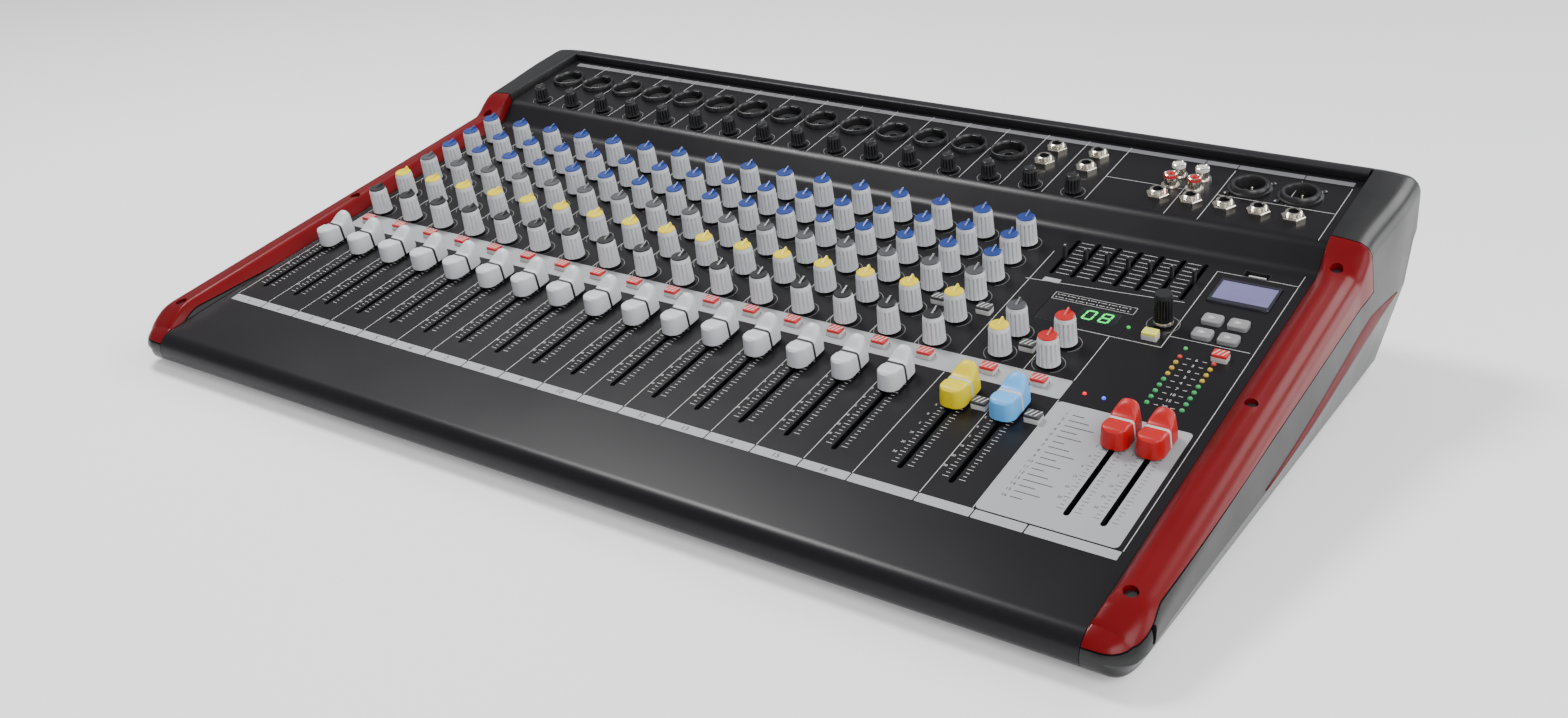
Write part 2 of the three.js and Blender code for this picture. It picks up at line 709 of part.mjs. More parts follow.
// ---- Buttons -----------------------------------------------------------------------------------
const cueLeft = cuePlaces[0][0] - 5;
const cueRight = cuePlaces[cuePlaces.length - 1][0] + 5;
add(
  deck,
  "cue_button_row",
  joined([
    box(cueRight - cueLeft, 9, 2, (cueLeft + cueRight) / 2, buttonRow, -potDepth - 2),
    ...cuePlaces
      .slice(1)
      .map(([x, y]) => box(buttonWidth, buttonDepth, buttonHeight + potDepth + 1, x, y, -potDepth - 1)),
  ]),
  buttonRed,
);
const pushButton = box(buttonWidth, buttonDepth, buttonHeight + buttonStem, 0, 0, -buttonStem);
add(deck, "channel_01_cue_button", pushButton.clone(), buttonRed, ...cuePlaces[0]);
add(deck, "phantom_power_button", pushButton, buttonRed, phantomPlace[0], phantomPlace[1], 0);
add(deck, "tap_tempo_button", pushButton.clone(), tapYellow, tapPlace[0], tapPlace[1], 0);

// The player's four keys are one rubber mat.
const keyRise = 2.4;
const matDepth = 4;
const matThickness = 1.5;
const matWidth = 28;
const matLength = 27;
const matX = (keyPlaces[0][0] + keyPlaces[3][0]) / 2;
const matY = (keyPlaces[0][1] + keyPlaces[3][1]) / 2;
add(
  deck,
  "player_keypad",
  joined([
    box(matWidth, matLength, matThickness, matX, matY, -matDepth - matThickness),
    ...keyPlaces.map((place) =>
      box(keyWidth, keyDepth, keyRise + matDepth + bite, ...place, -matDepth - bite),
    ),
  ]),
  keyGrey,
);

// ---- Displays ----------------------------------------------------------------------------------
const bezel = 1;
const moduleDepth = -boardTop - clearance;
add(
  deck,
  "effects_display",
  box(...displaySize, moduleDepth, ...displayCentre, -moduleDepth),
  displayGlass,
);
add(
  deck,
  "player_screen",
  box(...screenSize, moduleDepth + bezel, ...screenCentre, -moduleDepth),
  screenGlass,
);

// ---- Main circuit board: tracks of the faders and sliders, routing buttons, meter lights and port -
const boardLeft = channelsLeft + 2;
const boardRight = printRight - 2;
const boardFront = 6;
const boardBack = riserFoot - 4;
const trackTop = -leverDepth - bite;
const trackWidth = 9;
// A block that stands on the board and reaches up to a height.
const onBoard = (width, depth, [x, y], top) =>
  box(width, depth, top - boardTop + bite, x, y, boardTop - bite);
add(
  deck,
  "main_circuit_board",
  joined([
    box(
      boardRight - boardLeft,
      boardBack - boardFront,
      boardThickness,
      (boardLeft + boardRight) / 2,
      (boardFront + boardBack) / 2,
      -boardDepth,
    ),
    ...faders.map(({ x }) =>
      onBoard(trackWidth, slotLength + 9, [x, slotFront + slotLength / 2], trackTop),
    ),
    ...bands.map((x) => onBoard(trackWidth, bandSlotLength + 6, [x, bandRow], trackTop)),
    ...routingPlaces.map((place) => onBoard(buttonWidth, buttonDepth, place, buttonHeight)),
    ...meterBars.map((x) => onBoard(meterWidth, meterLength, [x, meterFront + meterLength / 2], 0.2)),
    ...[...Object.values(masterKnobs), encoder].map((place) =>
      onBoard(10, 10, place, -potDepth - clearance),
    ),
    ...[phantomPlace, tapPlace].map((place) =>
      onBoard(8, 8, place, -buttonStem - buttonTravel - clearance),
    ),
    onBoard(matWidth, matLength, [matX, matY], -matDepth - matThickness - clearance),
    onBoard(usbSize[0] - 2, 2, usbPort, -6.5),
  ]),
  circuitGreen,
);

// ---- Sockets -------------------------------------------------------------------------------------
const socketFloor = riserRise - sheet - socketDepth;
function socketBoard(left, right, front, back) {
  const middle = [(left + right) / 2, (front + back) / 2];
  return box(right - left, back - front, boardThickness, ...middle, socketFloor - boardThickness);
}
const flangeFoot = riserRise + clearance;
// A barrel from the socket board up to a height above the flange's foot.
const barrel = (radius, sides, height, [x, y]) =>
  bar(radius, radius, flangeFoot + height - socketFloor + bite, sides, x, y, socketFloor - bite);
function combo([x, y]) {
  return [
    barrel(comboBarrelRadius, barrelSides, 1, [x, y]),
    bar(comboRadius, comboRadius, comboHeight, barrelSides, x, y, flangeFoot),
  ];
}
const comboBore = ([x, y]) =>
  bar(jackBore, jackBore, 16, 8, x, y, flangeFoot + comboHeight - 14);
const comboLeft = comboPlaces[0][0] - 11;
const comboRight = comboPlaces[microphoneCount - 1][0] + 11;
add(
  deck,
  "microphone_sockets",
  without(
    joined([
      socketBoard(comboLeft, comboRight, comboRow - 12, comboRow + 12),
      ...comboPlaces.flatMap(combo),
    ]),
    comboPlaces.map(comboBore),
  ),
  blackPlastic,
);

function jack([x, y]) {
  return [
    barrel(jackCollarRadius, 8, jackHeight, [x, y]),
    bar(jackNutRadius, jackNutRadius, 2.4, 6, x, y, flangeFoot),
  ];
}
const jackHole = ([x, y]) => bar(jackBore, jackBore, 16, 8, x, y, flangeFoot + jackHeight - 14);
const phonoHeight = 8.5;
function phono([x, y]) {
  return [
    barrel(4, 6, phonoHeight, [x, y]),
    bar(5.6, 5.6, 1.2, 6, x, y, flangeFoot),
  ];
}
function xlr(place) {
  const [x, y] = place;
  return combo(place).concat([bar(comboRadius + 0.8, comboRadius + 0.8, 1, barrelSides, x, y, flangeFoot)]);
}
const xlrCup = ([x, y]) => bar(cupRadius, cupRadius, 16, barrelSides, x, y, flangeFoot + comboHeight - 14);
const pinAngles = [0.5, 1.17, 1.83].map((share) => share * Math.PI);
const pins = ([x, y]) =>
  pinAngles.map((angle) =>
    box(2.2, 2.2, 8.5, x + 4 * Math.cos(angle), y + 4 * Math.sin(angle), flangeFoot + comboHeight - 14.5),
  );
const outputLeft = channelsLeft + microphoneCount * channelPitch + 3;
const outputRight = printRight - 3;
add(
  deck,
  "output_sockets",
  without(
    joined([
      socketBoard(outputLeft, outputRight, gainRow + 6.8, comboRow + 19),
      ...jackPlaces.flatMap(jack),
      ...phonoPlaces.flatMap(phono),
      ...xlrPlaces.flatMap(xlr),
    ]),
    [...jackPlaces.map(jackHole), ...xlrPlaces.map(xlrCup)],
  ).add(joined(xlrPlaces.flatMap(pins))),
  nickel,
);

// ---- Power supply, mains inlet and rocker switch ---------------------------------------------------
const trayTop = baseZ + sheet;
const supplyX = -panelHalf + 75;
const supplyY = wallFootY - 75;
add(
  chassis,
  "power_supply",
  joined([
    box(120, 90, 2, supplyX + 20, supplyY, trayTop + clearance),
    bar(34, 34, 32, 20, supplyX, supplyY, trayTop + 2),
    box(30, 70, 20, supplyX + 60, supplyY, trayTop + 2),
  ]),
  transformerTape,
);

const inlet = new THREE.Group(); // z stands out of the rear wall, y points down it
const inletRise = inletFoot + inletHeight / 2;
inlet.position.set(inletX, wallFootY + Math.tan(wallLean) * inletRise, baseZ + inletRise);
inlet.rotation.x = -Math.PI / 2 - wallLean;
chassis.add(inlet);
const cavity = [-6.5, 0];
const blades = [[-5, -1.5], [5, -1.5], [0, 3]];
const bladeLength = 5.5;
const cavityFloor = inletFlange - 12;
const blade = ([dx, dy]) => box(1.6, 2.4, bladeLength, cavity[0] + dx, dy, cavityFloor - bite);
add(
  inlet,
  "mains_inlet",
  without(
    joined([
      box(inletWidth + 6, inletHeight + 5, inletFlange, 0, 0, clearance),
      box(inletWidth - 1, inletHeight - 6, inletDepth + 1, 0, 0, -inletDepth),
    ]),
    [
      box(20, 14, 16, cavity[0], cavity[1], cavityFloor),
      box(rockerWidth + 2, rockerHeight + 2, 16, 11.5, 0, cavityFloor),
    ],
  ).add(joined(blades.map(blade))),
  blackPlastic,
);
// The rocker's two faces meet in a shallow V, and it rocks about the pin under that line.
const rockerFace = 2;
const rockerOutline = [
  [-rockerHeight / 2 + 1, -4],
  [rockerHeight / 2 - 1, -4],
  [rockerHeight / 2, rockerFace],
  [0, rockerFace - 1.4],
  [-rockerHeight / 2, rockerFace],
];
const rocker = add(
  inlet,
  "power_rocker",
  alongX(rockerOutline, -rockerWidth / 2, rockerWidth / 2),
  knobBlack,
  11.5,
  0,
  inletFlange - 0.5,
);
rocker.rotation.x = rockerTilt;

export default console18;
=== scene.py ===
import math

import bmesh
import bpy
from mathutils import Matrix, Vector


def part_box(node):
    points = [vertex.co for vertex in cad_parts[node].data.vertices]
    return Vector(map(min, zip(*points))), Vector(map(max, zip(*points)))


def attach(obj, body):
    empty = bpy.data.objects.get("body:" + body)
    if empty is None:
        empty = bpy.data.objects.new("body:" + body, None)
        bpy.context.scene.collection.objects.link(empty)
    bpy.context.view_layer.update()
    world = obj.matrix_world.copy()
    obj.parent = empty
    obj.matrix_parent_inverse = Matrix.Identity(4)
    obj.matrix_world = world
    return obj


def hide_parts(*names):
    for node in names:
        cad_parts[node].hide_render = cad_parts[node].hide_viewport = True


bl_info = {
    "name": "Live Mixing Console",
    "version": (1, 0, 0),
    "blender": (4, 5, 0),
    "location": "3D View > Sidebar > Console",
    "description": "Builds a live mixing console with moving faders, knobs and buttons",
    "category": "Object",
}

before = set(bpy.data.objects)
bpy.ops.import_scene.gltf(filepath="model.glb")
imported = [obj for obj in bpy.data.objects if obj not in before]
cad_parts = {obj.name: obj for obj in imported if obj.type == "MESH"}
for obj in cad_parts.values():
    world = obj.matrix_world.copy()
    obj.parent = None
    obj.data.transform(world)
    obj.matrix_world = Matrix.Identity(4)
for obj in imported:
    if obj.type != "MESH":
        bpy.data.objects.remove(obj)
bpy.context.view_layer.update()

MM = 0.001
INK = 0.05  # thickness of printed ink, in millimetres
CHANNELS = 16
FADER_NUMBERS = ("10", "5", "0", "5", "10", "20", "30")
MICROPHONES = 14
BANDS = 7


# ---- Sizes and colours ------------------------------------------------------------------------


def length(name, default, description):
    return bpy.props.FloatProperty(
        name=name, default=default * MM, description=description, unit="LENGTH", precision=5
    )


def colour(name, default, description):
    return bpy.props.FloatVectorProperty(
        name=name, default=default, description=description, subtype="COLOR", size=3, min=0, max=1
    )


class ConsoleSizes(bpy.types.PropertyGroup):
    """Sizes of the deck, the ends and the controls."""

    channel_pitch: length("Channel pitch", 27.5, "From one channel strip to the next")
    master_width: length("Master width", 135.6, "Printed width right of the channels")
    print_margin: length("Print margin", 5.2, "Bare panel between print and cheeks")
    deck_tilt: bpy.props.FloatProperty(
        name="Deck tilt",
        default=math.radians(11),
        description="How far the deck leans towards the user",
        subtype="ANGLE",
    )
    sheet: length("Sheet", 1.5, "Thickness of the folded steel")
    nose_radius: length("Nose radius", 9.8, "Half-round front edge")
    front_apron: length("Front apron", 42.6, "Bare panel in front of the label strip")
    cheek_rise: length("Cheek rise", 7.5, "Red cheek above the deck")
    cheek_width: length("Cheek width", 24, "Inner edge to top outer edge")
    cheek_edge: length("Cheek edge", 10, "Radius along the cheek's upper edges")
    crease_bulge: length("Crease bulge", 4.7, "Side crease beyond the top edge")
    side_undercut: length("Side undercut", 4.5, "Bottom edge inside the top edge")
    corner_radius: length("Corner radius", 20, "Front and back corners from above")
    knob_radius: length("Knob radius", 6.3, "Fluted knobs on the control deck")
    knob_height: length("Knob height", 19.4, "Top of a knob above the deck")
    cap_length: length("Cap length", 25.2, "Fader caps, front to back")
    cap_width: length("Cap width", 12.3, "Channel fader caps")
    main_cap_width: length("Main cap width", 14.2, "Master fader caps")
    cap_height: length("Cap height", 16.3, "Top of a fader cap above the deck")


class ConsoleColours(bpy.types.PropertyGroup):
    """Colours of the finishes."""

    steel: colour("Steel", (0.0075, 0.0068, 0.0082), "Powder coat of the panel")
    shell: colour("Shell", (0.009, 0.009, 0.0095), "End shells")
    cheek: colour("Cheek", (0.135, 0.0010, 0.0030), "Glossy cheeks")
    knob: colour("Knob", (0.60, 0.615, 0.64), "Fluted knobs")
    cap: colour("Cap", (0.56, 0.58, 0.61), "Channel fader caps")
    yellow: colour("Yellow", (0.74, 0.58, 0.0), "Effects caps and discs")
    blue: colour("Blue", (0.006, 0.032, 0.20), "Tone discs")
    sky: colour("Sky", (0.11, 0.42, 0.85), "Player cap")
    red: colour("Red", (0.44, 0.003, 0.003), "Main caps and player discs")
    slate: colour("Slate", (0.055, 0.057, 0.062), "Auxiliary discs")
    strip: colour("Strip", (0.33, 0.335, 0.35), "Printed grey strips")
    ink: colour("Ink", (0.50, 0.50, 0.49), "Printed lines")
    button: colour("Button", (0.55, 0.025, 0.025), "Cue buttons")
    key: colour("Key", (0.22, 0.22, 0.225), "Player keys")
    floor: colour("Floor", (0.93, 0.93, 0.94), "Floor")


def sizes():
    return bpy.context.scene.console_sizes


def colours():
    return bpy.context.scene.console_colours


# ---- Where things stand on the deck, in millimetres -------------------------------------------


class Layout:
    """Deck coordinates: x to the right, v up the deck from the label strip, n out of it."""

    def __init__(self, s):
        self.pitch = s.channel_pitch / MM
        self.left = -(self.pitch * CHANNELS + s.master_width / MM) / 2
        self.master = self.left + self.pitch * CHANNELS
        self.right = self.master + s.master_width / MM
        self.half = self.right + s.print_margin / MM
        self.apron = s.front_apron / MM
        self.nose = s.nose_radius / MM
        self.sheet = s.sheet / MM
        self.tilt = s.deck_tilt
        self.slot_front = 18.6
        self.slot_length = 67
        self.slot_back = self.slot_front + self.slot_length
        self.cue_row = self.slot_back + 23
        self.pan_row = self.cue_row + 14.6
        self.effects_row = self.pan_row + 24.2
        self.aux_row = self.effects_row + 24.2
        self.tone_rows = [self.aux_row + 21.4 * (i + 1) for i in range(3)]
        self.riser_foot = self.tone_rows[2] + 22.7
        self.connector_front = self.riser_foot + 15.1
        self.rise = 12.1
        self.gain_row = self.connector_front + 8.2
        self.combo_row = self.gain_row + 34.5
        self.connector_back = self.combo_row + 33
        self.frame_back = self.connector_back + 9.6
        self.frame_top = self.rise + 5.5
        self.jack_row = self.combo_row - 22.5
        self.band_row = self.riser_foot - 29.3
        self.effects_x = self.master + 18.2
        self.player_x = self.master + 45.5
        self.main_left = self.master + 103.1
        self.main_right = self.master + 120.8
        self.meter_front = self.cue_row + 5.3
        self.bands = [self.master + 8.3 + 12.57 * i for i in range(BANDS)]
        # Printed edges inside the master section, from left to right.
        self.player_edge = self.master + 36
        self.display_edge = self.master + 63.5
        self.main_edge = self.master + 91.4
        # The printed lines stop in front of the cue row and go on behind it.
        self.print_front = 6.6
        self.cue_front = 99.3
        self.cue_back = 117.4
        low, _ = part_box("bottom_tray")
        sin, cos = math.sin(self.tilt), math.cos(self.tilt)
        # The tray's sides start 0.3 under the panel's sheet, at the front of the deck.
        self.origin_y = low.y / MM + self.apron * cos - (self.sheet + 0.3) * sin
        self.origin_z = low.z / MM + self.nose + self.apron * sin + self.nose * cos
        self.base = low.z / MM
        self.front = self.stand(-self.apron, -self.nose)[0] - self.nose
        self.rear = self.stand(self.frame_back, self.frame_top)[0] + 16.9
        self.wall_foot = self.rear - 30.3
        self.deck = (
            Matrix.Scale(MM, 4)
            @ Matrix.Translation((0, self.origin_y, self.origin_z))
            @ Matrix.Rotation(self.tilt, 4, "X")
        )
        self.upright = Matrix.Scale(MM, 4)

    def column(self, channel, share=0.33):
        return self.left + (channel + share) * self.pitch

    def stand(self, v, n):
        """A deck point as (y, z) in the row frame, in millimetres."""
        sin, cos = math.sin(self.tilt), math.cos(self.tilt)
        return v * cos - n * sin + self.origin_y, v * sin + n * cos + self.origin_z

    def node(self, name):
        """A node's middle on the deck, (x, v)."""
        low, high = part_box(name)
        middle = self.deck.inverted() @ ((low + high) / 2)
        return middle.x, middle.y


def layout():
    return Layout(sizes())


# ---- Finishes ---------------------------------------------------------------------------------


def node_tree(name):
    material = bpy.data.materials.new(name)
    material.use_nodes = True
    tree = material.node_tree
    shader = tree.nodes["Principled BSDF"]
    return material, tree, shader


def noise(tree, scale, detail=3.0, stretch=None):
    """A noise pattern on the piece's own coordinates."""
    place = tree.nodes.new("ShaderNodeTexCoord")
    mapping = tree.nodes.new("ShaderNodeMapping")
    if stretch:
        mapping.inputs["Scale"].default_value = stretch
    texture = tree.nodes.new("ShaderNodeTexNoise")
    texture.inputs["Scale"].default_value = scale
    texture.inputs["Detail"].default_value = detail
    tree.links.new(place.outputs["Object"], mapping.inputs["Vector"])
    tree.links.new(mapping.outputs["Vector"], texture.inputs["Vector"])
    return texture


def moulded(name, tint, roughness, spread=0.10, grain=1800, bump=0.03, patch=35, **shader_values):
    """A plastic, paint or metal: patchy colour and gloss, and a fine grain on the surface."""
    if name in bpy.data.materials:
        return bpy.data.materials[name]
    material, tree, shader = node_tree(name)
    patches = noise(tree, patch)
    blend = tree.nodes.new("ShaderNodeMix")
    blend.data_type = "RGBA"
    blend.inputs["A"].default_value = (*[max(c * (1 - spread), 0) for c in tint], 1)
    blend.inputs["B"].default_value = (*[min(c * (1 + spread), 1) for c in tint], 1)
    tree.links.new(patches.outputs["Fac"], blend.inputs["Factor"])
    tree.links.new(blend.outputs["Result"], shader.inputs["Base Color"])
    gloss = tree.nodes.new("ShaderNodeMapRange")
    gloss.inputs["To Min"].default_value = max(roughness - 0.07, 0.02)
    gloss.inputs["To Max"].default_value = roughness + 0.07
    tree.links.new(patches.outputs["Fac"], gloss.inputs["Value"])
    tree.links.new(gloss.outputs["Result"], shader.inputs["Roughness"])
    grain_noise = noise(tree, grain, 2)
    relief = tree.nodes.new("ShaderNodeBump")
    relief.inputs["Strength"].default_value = bump
    relief.inputs["Distance"].default_value = 0.0004
    tree.links.new(grain_noise.outputs["Fac"], relief.inputs["Height"])
    tree.links.new(relief.outputs["Normal"], shader.inputs["Normal"])
    for socket, value in shader_values.items():
        shader.inputs[socket.replace("_", " ")].default_value = value
    return material


def powder_coat():
    return moulded(
        "powder coated steel",
        colours().steel,
        0.42,
        grain=2600,
        bump=0.16,
        Specular_IOR_Level=0.3,
    )


def deck_coat():
    return moulded(
        "satin deck coat",
        colours().steel,
        0.34,
        grain=2200,
        bump=0.06,
        patch=14,
        Specular_IOR_Level=0.22,
    )


def shell_plastic():
    return moulded(
        "satin black moulding",
        colours().shell,
        0.36,
        grain=2000,
        bump=0.10,
        Specular_IOR_Level=0.35,
    )


def cheek_gloss():
    return moulded(
        "glossy red moulding",
        colours().cheek,
        0.36,
        spread=0.12,
        grain=420,
        bump=0.012,
        Specular_IOR_Level=0.15,
        Coat_Weight=0.08,
        Coat_Roughness=0.15,
    )


def leaf_gloss():
    return moulded(
        "dark red moulding", (0.10, 0.0007, 0.0026), 0.42, spread=0.1, grain=420, Specular_IOR_Level=0.08
    )


def knob_plastic():
    return moulded("grey knob plastic", colours().knob, 0.48, spread=0.05, patch=120)


def cap_plastic():
    return moulded("pale cap plastic", colours().cap, 0.40, spread=0.04, patch=90)


def black_plastic():
    return moulded("black control plastic", (0.011, 0.011, 0.012), 0.36, grain=2400, bump=0.05)


def tinted(name, tint, roughness=0.4):
    return moulded(name, tint, roughness, spread=0.06, patch=110)


def grey_print():
    return moulded("grey screen print", colours().strip, 0.5, spread=0.04, grain=3000, bump=0.05)


def white_ink():
    return moulded("white screen print", colours().ink, 0.55, spread=0.12, patch=260, bump=0.02)


def black_ink():
    return moulded("black screen print", (0.03, 0.03, 0.032), 0.5, spread=0.2, patch=260)


def nickel():
    return moulded(
        "bright nickel", (0.72, 0.68, 0.60), 0.2, spread=0.08, patch=200, bump=0.02, Metallic=1.0
    )


def dark_steel():
    return moulded("dark plated steel", (0.10, 0.10, 0.11), 0.35, patch=200, Metallic=1.0)


def rubber():
    return moulded("black rubber", (0.012, 0.012, 0.012), 0.85, grain=1500, bump=0.2)


def lamp_lens(name, tint, glow):
    """A small lens with light behind it: brighter patches where the chip sits."""
    material = moulded(name, tint, 0.25, spread=0.25, patch=500)
    shader = material.node_tree.nodes["Principled BSDF"]
    shader.inputs["Emission Color"].default_value = (*tint, 1)
    shader.inputs["Emission Strength"].default_value = glow
    return material


def circuit_board():
    """Green board with darker tracks in straight runs."""
    name = "green circuit board"
    if name in bpy.data.materials:
        return bpy.data.materials[name]
    material = moulded(name, (0.004, 0.02, 0.01), 0.35)
    tree = material.node_tree
    shader = tree.nodes["Principled BSDF"]
    place = tree.nodes.new("ShaderNodeTexCoord")
    bricks = tree.nodes.new("ShaderNodeTexBrick")
    bricks.inputs["Scale"].default_value = 120
    bricks.inputs["Mortar Size"].default_value = 0.06
    bricks.inputs["Color1"].default_value = (0.004, 0.022, 0.010, 1)
    bricks.inputs["Color2"].default_value = (0.003, 0.016, 0.008, 1)
    bricks.inputs["Mortar"].default_value = (0.010, 0.040, 0.018, 1)
    tree.links.new(place.outputs["Object"], bricks.inputs["Vector"])
    tree.links.new(bricks.outputs["Color"], shader.inputs["Base Color"])
    return material


# ---- Making meshes ----------------------------------------------------------------------------


def finish_piece(piece, body, replaced=()):
    """Every made piece ends here: it rides on a body and stands for its CAD nodes."""
    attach(piece, body)
    if replaced:
        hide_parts(*replaced)
    return piece


def link(name, mesh, materials, smooth=35):
    mesh.name = name
    piece = bpy.data.objects.new(name, mesh)
    bpy.context.scene.collection.objects.link(piece)
    mesh.materials.clear()
    for material in materials:
        mesh.materials.append(material)
    for polygon in mesh.polygons:
        polygon.use_smooth = True
    mesh.set_sharp_from_angle(angle=math.radians(smooth))
    return piece


def to_mesh(shape, matrix=None):
    """A bmesh in millimetres as a mesh in metres, placed by a matrix."""
    bmesh.ops.recalc_face_normals(shape, faces=shape.faces)
    if matrix is not None:
        bmesh.ops.transform(shape, matrix=matrix, verts=shape.verts)
    mesh = bpy.data.meshes.new("shape")
    shape.to_mesh(mesh)
    shape.free()
    return mesh


def joined(shapes):
    """Several bmeshes as one."""
    whole = bmesh.new()
    for shape in shapes:
        mesh = bpy.data.meshes.new("part")
        shape.to_mesh(mesh)
        shape.free()
        whole.from_mesh(mesh)
        bpy.data.meshes.remove(mesh)
    return whole


def loft(rings, closed=False):
    """A skin through rings of points with the same count, with flat ends unless closed."""
    shape = bmesh.new()
    rows = [[shape.verts.new(point) for point in ring] for ring in rings]
    count = len(rings[0])
    for row, following in zip(rows, rows[1:] + rows[:1] if closed else rows[1:]):
        for i in range(count):
            j = (i + 1) % count
            shape.faces.new((row[i], row[j], following[j], following[i]))
    if not closed:
        shape.faces.new(rows[0])
        shape.faces.new(rows[-1])
    bmesh.ops.recalc_face_normals(shape, faces=shape.faces)
    return shape


def turned(profile, sides, centre=(0, 0)):
    """A profile of (radius, height) turned round an upright line."""
    rings = []
    for radius, height in profile:
        rings.append(
            [
                (
                    centre[0] + radius * math.cos(2 * math.pi * i / sides),
                    centre[1] + radius * math.sin(2 * math.pi * i / sides),
                    height,
                )
                for i in range(sides)
            ]
        )
    return loft(rings)


def washer(profile, sides, centre=(0, 0)):
    """A closed profile of (radius, height) turned into a ring."""
    rings = []
    for i in range(sides):
        angle = 2 * math.pi * i / sides
        rings.append(
            [
                (centre[0] + r * math.cos(angle), centre[1] + r * math.sin(angle), h)
                for r, h in profile
            ]
        )
    return loft(rings, closed=True)


def rounded_outline(width, depth, radius, steps=3, centre=(0, 0)):
    """A rectangle with round corners, counter-clockwise."""
    points = []
    for quarter, (sx, sy) in enumerate(((1, 1), (-1, 1), (-1, -1), (1, -1))):
        for i in range(steps + 1):
            angle = math.pi / 2 * (quarter + i / steps)
            points.append(
                (
                    centre[0] + sx * (width / 2 - radius) + radius * math.cos(angle),
                    centre[1] + sy * (depth / 2 - radius) + radius * math.sin(angle),
                )
            )
    return points


def pillow(width, depth, low, high, radius, edge, centre=(0, 0), steps=3, draft=0.0):
    """A block with round corners and a rounded upper edge."""
    rings = []

    def ring(inset, height):
        outline = rounded_outline(
            width - 2 * inset, depth - 2 * inset, max(radius - inset, 0.05), steps, centre
        )
        rings.append([(x, y, height) for x, y in outline])

    ring(0, low)
    ring(draft, high - edge)
    for i in (1, 2, 3):
        angle = math.pi / 2 * i / 3
        ring(draft + edge * (1 - math.cos(angle)), high - edge + edge * math.sin(angle))
    return loft(rings)


def plate(outline, low, high):
    """An outline of (x, y) points with a thickness."""
    return loft([[(x, y, z) for x, y in outline] for z in (low, high)])


def block(x0, x1, y0, y1, low, high):
    return plate([(x0, y0), (x1, y0), (x1, y1), (x0, y1)], low, high)


def disc(radius, low, high, sides, centre=(0, 0)):
    return turned([(radius, low), (radius, high)], sides, centre)


def moved(shape, x, y, z=0.0):
    bmesh.ops.translate(shape, vec=(x, y, z), verts=shape.verts)
    return shape


def cut(piece, cutter_shape, operation="DIFFERENCE"):
    """Cuts a piece with a shape that is already in metres, and keeps the result as its mesh."""
    cutter_mesh = bpy.data.meshes.new("cutter")
    bmesh.ops.recalc_face_normals(cutter_shape, faces=cutter_shape.faces)
    cutter_shape.to_mesh(cutter_mesh)
    cutter_shape.free()
    cutter = bpy.data.objects.new("cutter", cutter_mesh)
    bpy.context.scene.collection.objects.link(cutter)
    modifier = piece.modifiers.new("cut", "BOOLEAN")
    modifier.operation = operation
    modifier.solver = "EXACT"
    modifier.object = cutter
    depsgraph = bpy.context.evaluated_depsgraph_get()
    mesh = bpy.data.meshes.new_from_object(piece.evaluated_get(depsgraph))
    piece.modifiers.clear()
    old = piece.data
    piece.data = mesh
    bpy.data.meshes.remove(old)
    bpy.data.objects.remove(cutter)
    bpy.data.meshes.remove(cutter_mesh)
    mesh.set_sharp_from_angle(angle=math.radians(30))
    return piece


# ---- Geometry Nodes: what repeats -------------------------------------------------------------


def new_tree(name, inputs):
    """A node group with points in, a mesh out, and named inputs."""
    tree = bpy.data.node_groups.new(name, "GeometryNodeTree")
    tree.interface.new_socket("Geometry", in_out="INPUT", socket_type="NodeSocketGeometry")
    tree.interface.new_socket("Geometry", in_out="OUTPUT", socket_type="NodeSocketGeometry")
    for label, kind, default in inputs:
        socket = tree.interface.new_socket(label, in_out="INPUT", socket_type=kind)
        if default is not None:
            socket.default_value = default
    entry = tree.nodes.new("NodeGroupInput")
    leave = tree.nodes.new("NodeGroupOutput")
    return tree, entry, leave


def end_tree(tree, entry, leave, instances):
    """Realises the instances and gives them their material."""
    realise = tree.nodes.new("GeometryNodeRealizeInstances")
    paint = tree.nodes.new("GeometryNodeSetMaterial")
    tree.links.new(instances, realise.inputs["Geometry"])
    tree.links.new(realise.outputs["Geometry"], paint.inputs["Geometry"])
    tree.links.new(entry.outputs["Material"], paint.inputs["Material"])
    tree.links.new(paint.outputs["Geometry"], leave.inputs["Geometry"])


def maths(tree, operation, first, second=None):
    node = tree.nodes.new("ShaderNodeMath")
    node.operation = operation
    for index, value in enumerate((first, second)):
        if value is None:
            continue
        if isinstance(value, (int, float)):
            node.inputs[index].default_value = value
        else:
            tree.links.new(value, node.inputs[index])
    return node.outputs[0]


def repeat_tree():
    """Sets a copy of a piece on every point, turned by an angle."""
    name = "Repeat piece on points"
    if name in bpy.data.node_groups:
        return bpy.data.node_groups[name]
    tree, entry, leave = new_tree(
        name,
        [
            ("Piece", "NodeSocketObject", None),
            ("Turn", "NodeSocketFloat", 0.0),
            ("Material", "NodeSocketMaterial", None),
        ],
    )
    info = tree.nodes.new("GeometryNodeObjectInfo")
    turn = tree.nodes.new("ShaderNodeCombineXYZ")
    spread = tree.nodes.new("GeometryNodeInstanceOnPoints")
    tree.links.new(entry.outputs["Piece"], info.inputs["Object"])
    tree.links.new(entry.outputs["Turn"], turn.inputs["Z"])
    tree.links.new(entry.outputs["Geometry"], spread.inputs["Points"])
    tree.links.new(info.outputs["Geometry"], spread.inputs["Instance"])
    tree.links.new(turn.outputs["Vector"], spread.inputs["Rotation"])
    end_tree(tree, entry, leave, spread.outputs["Instances"])
    return tree


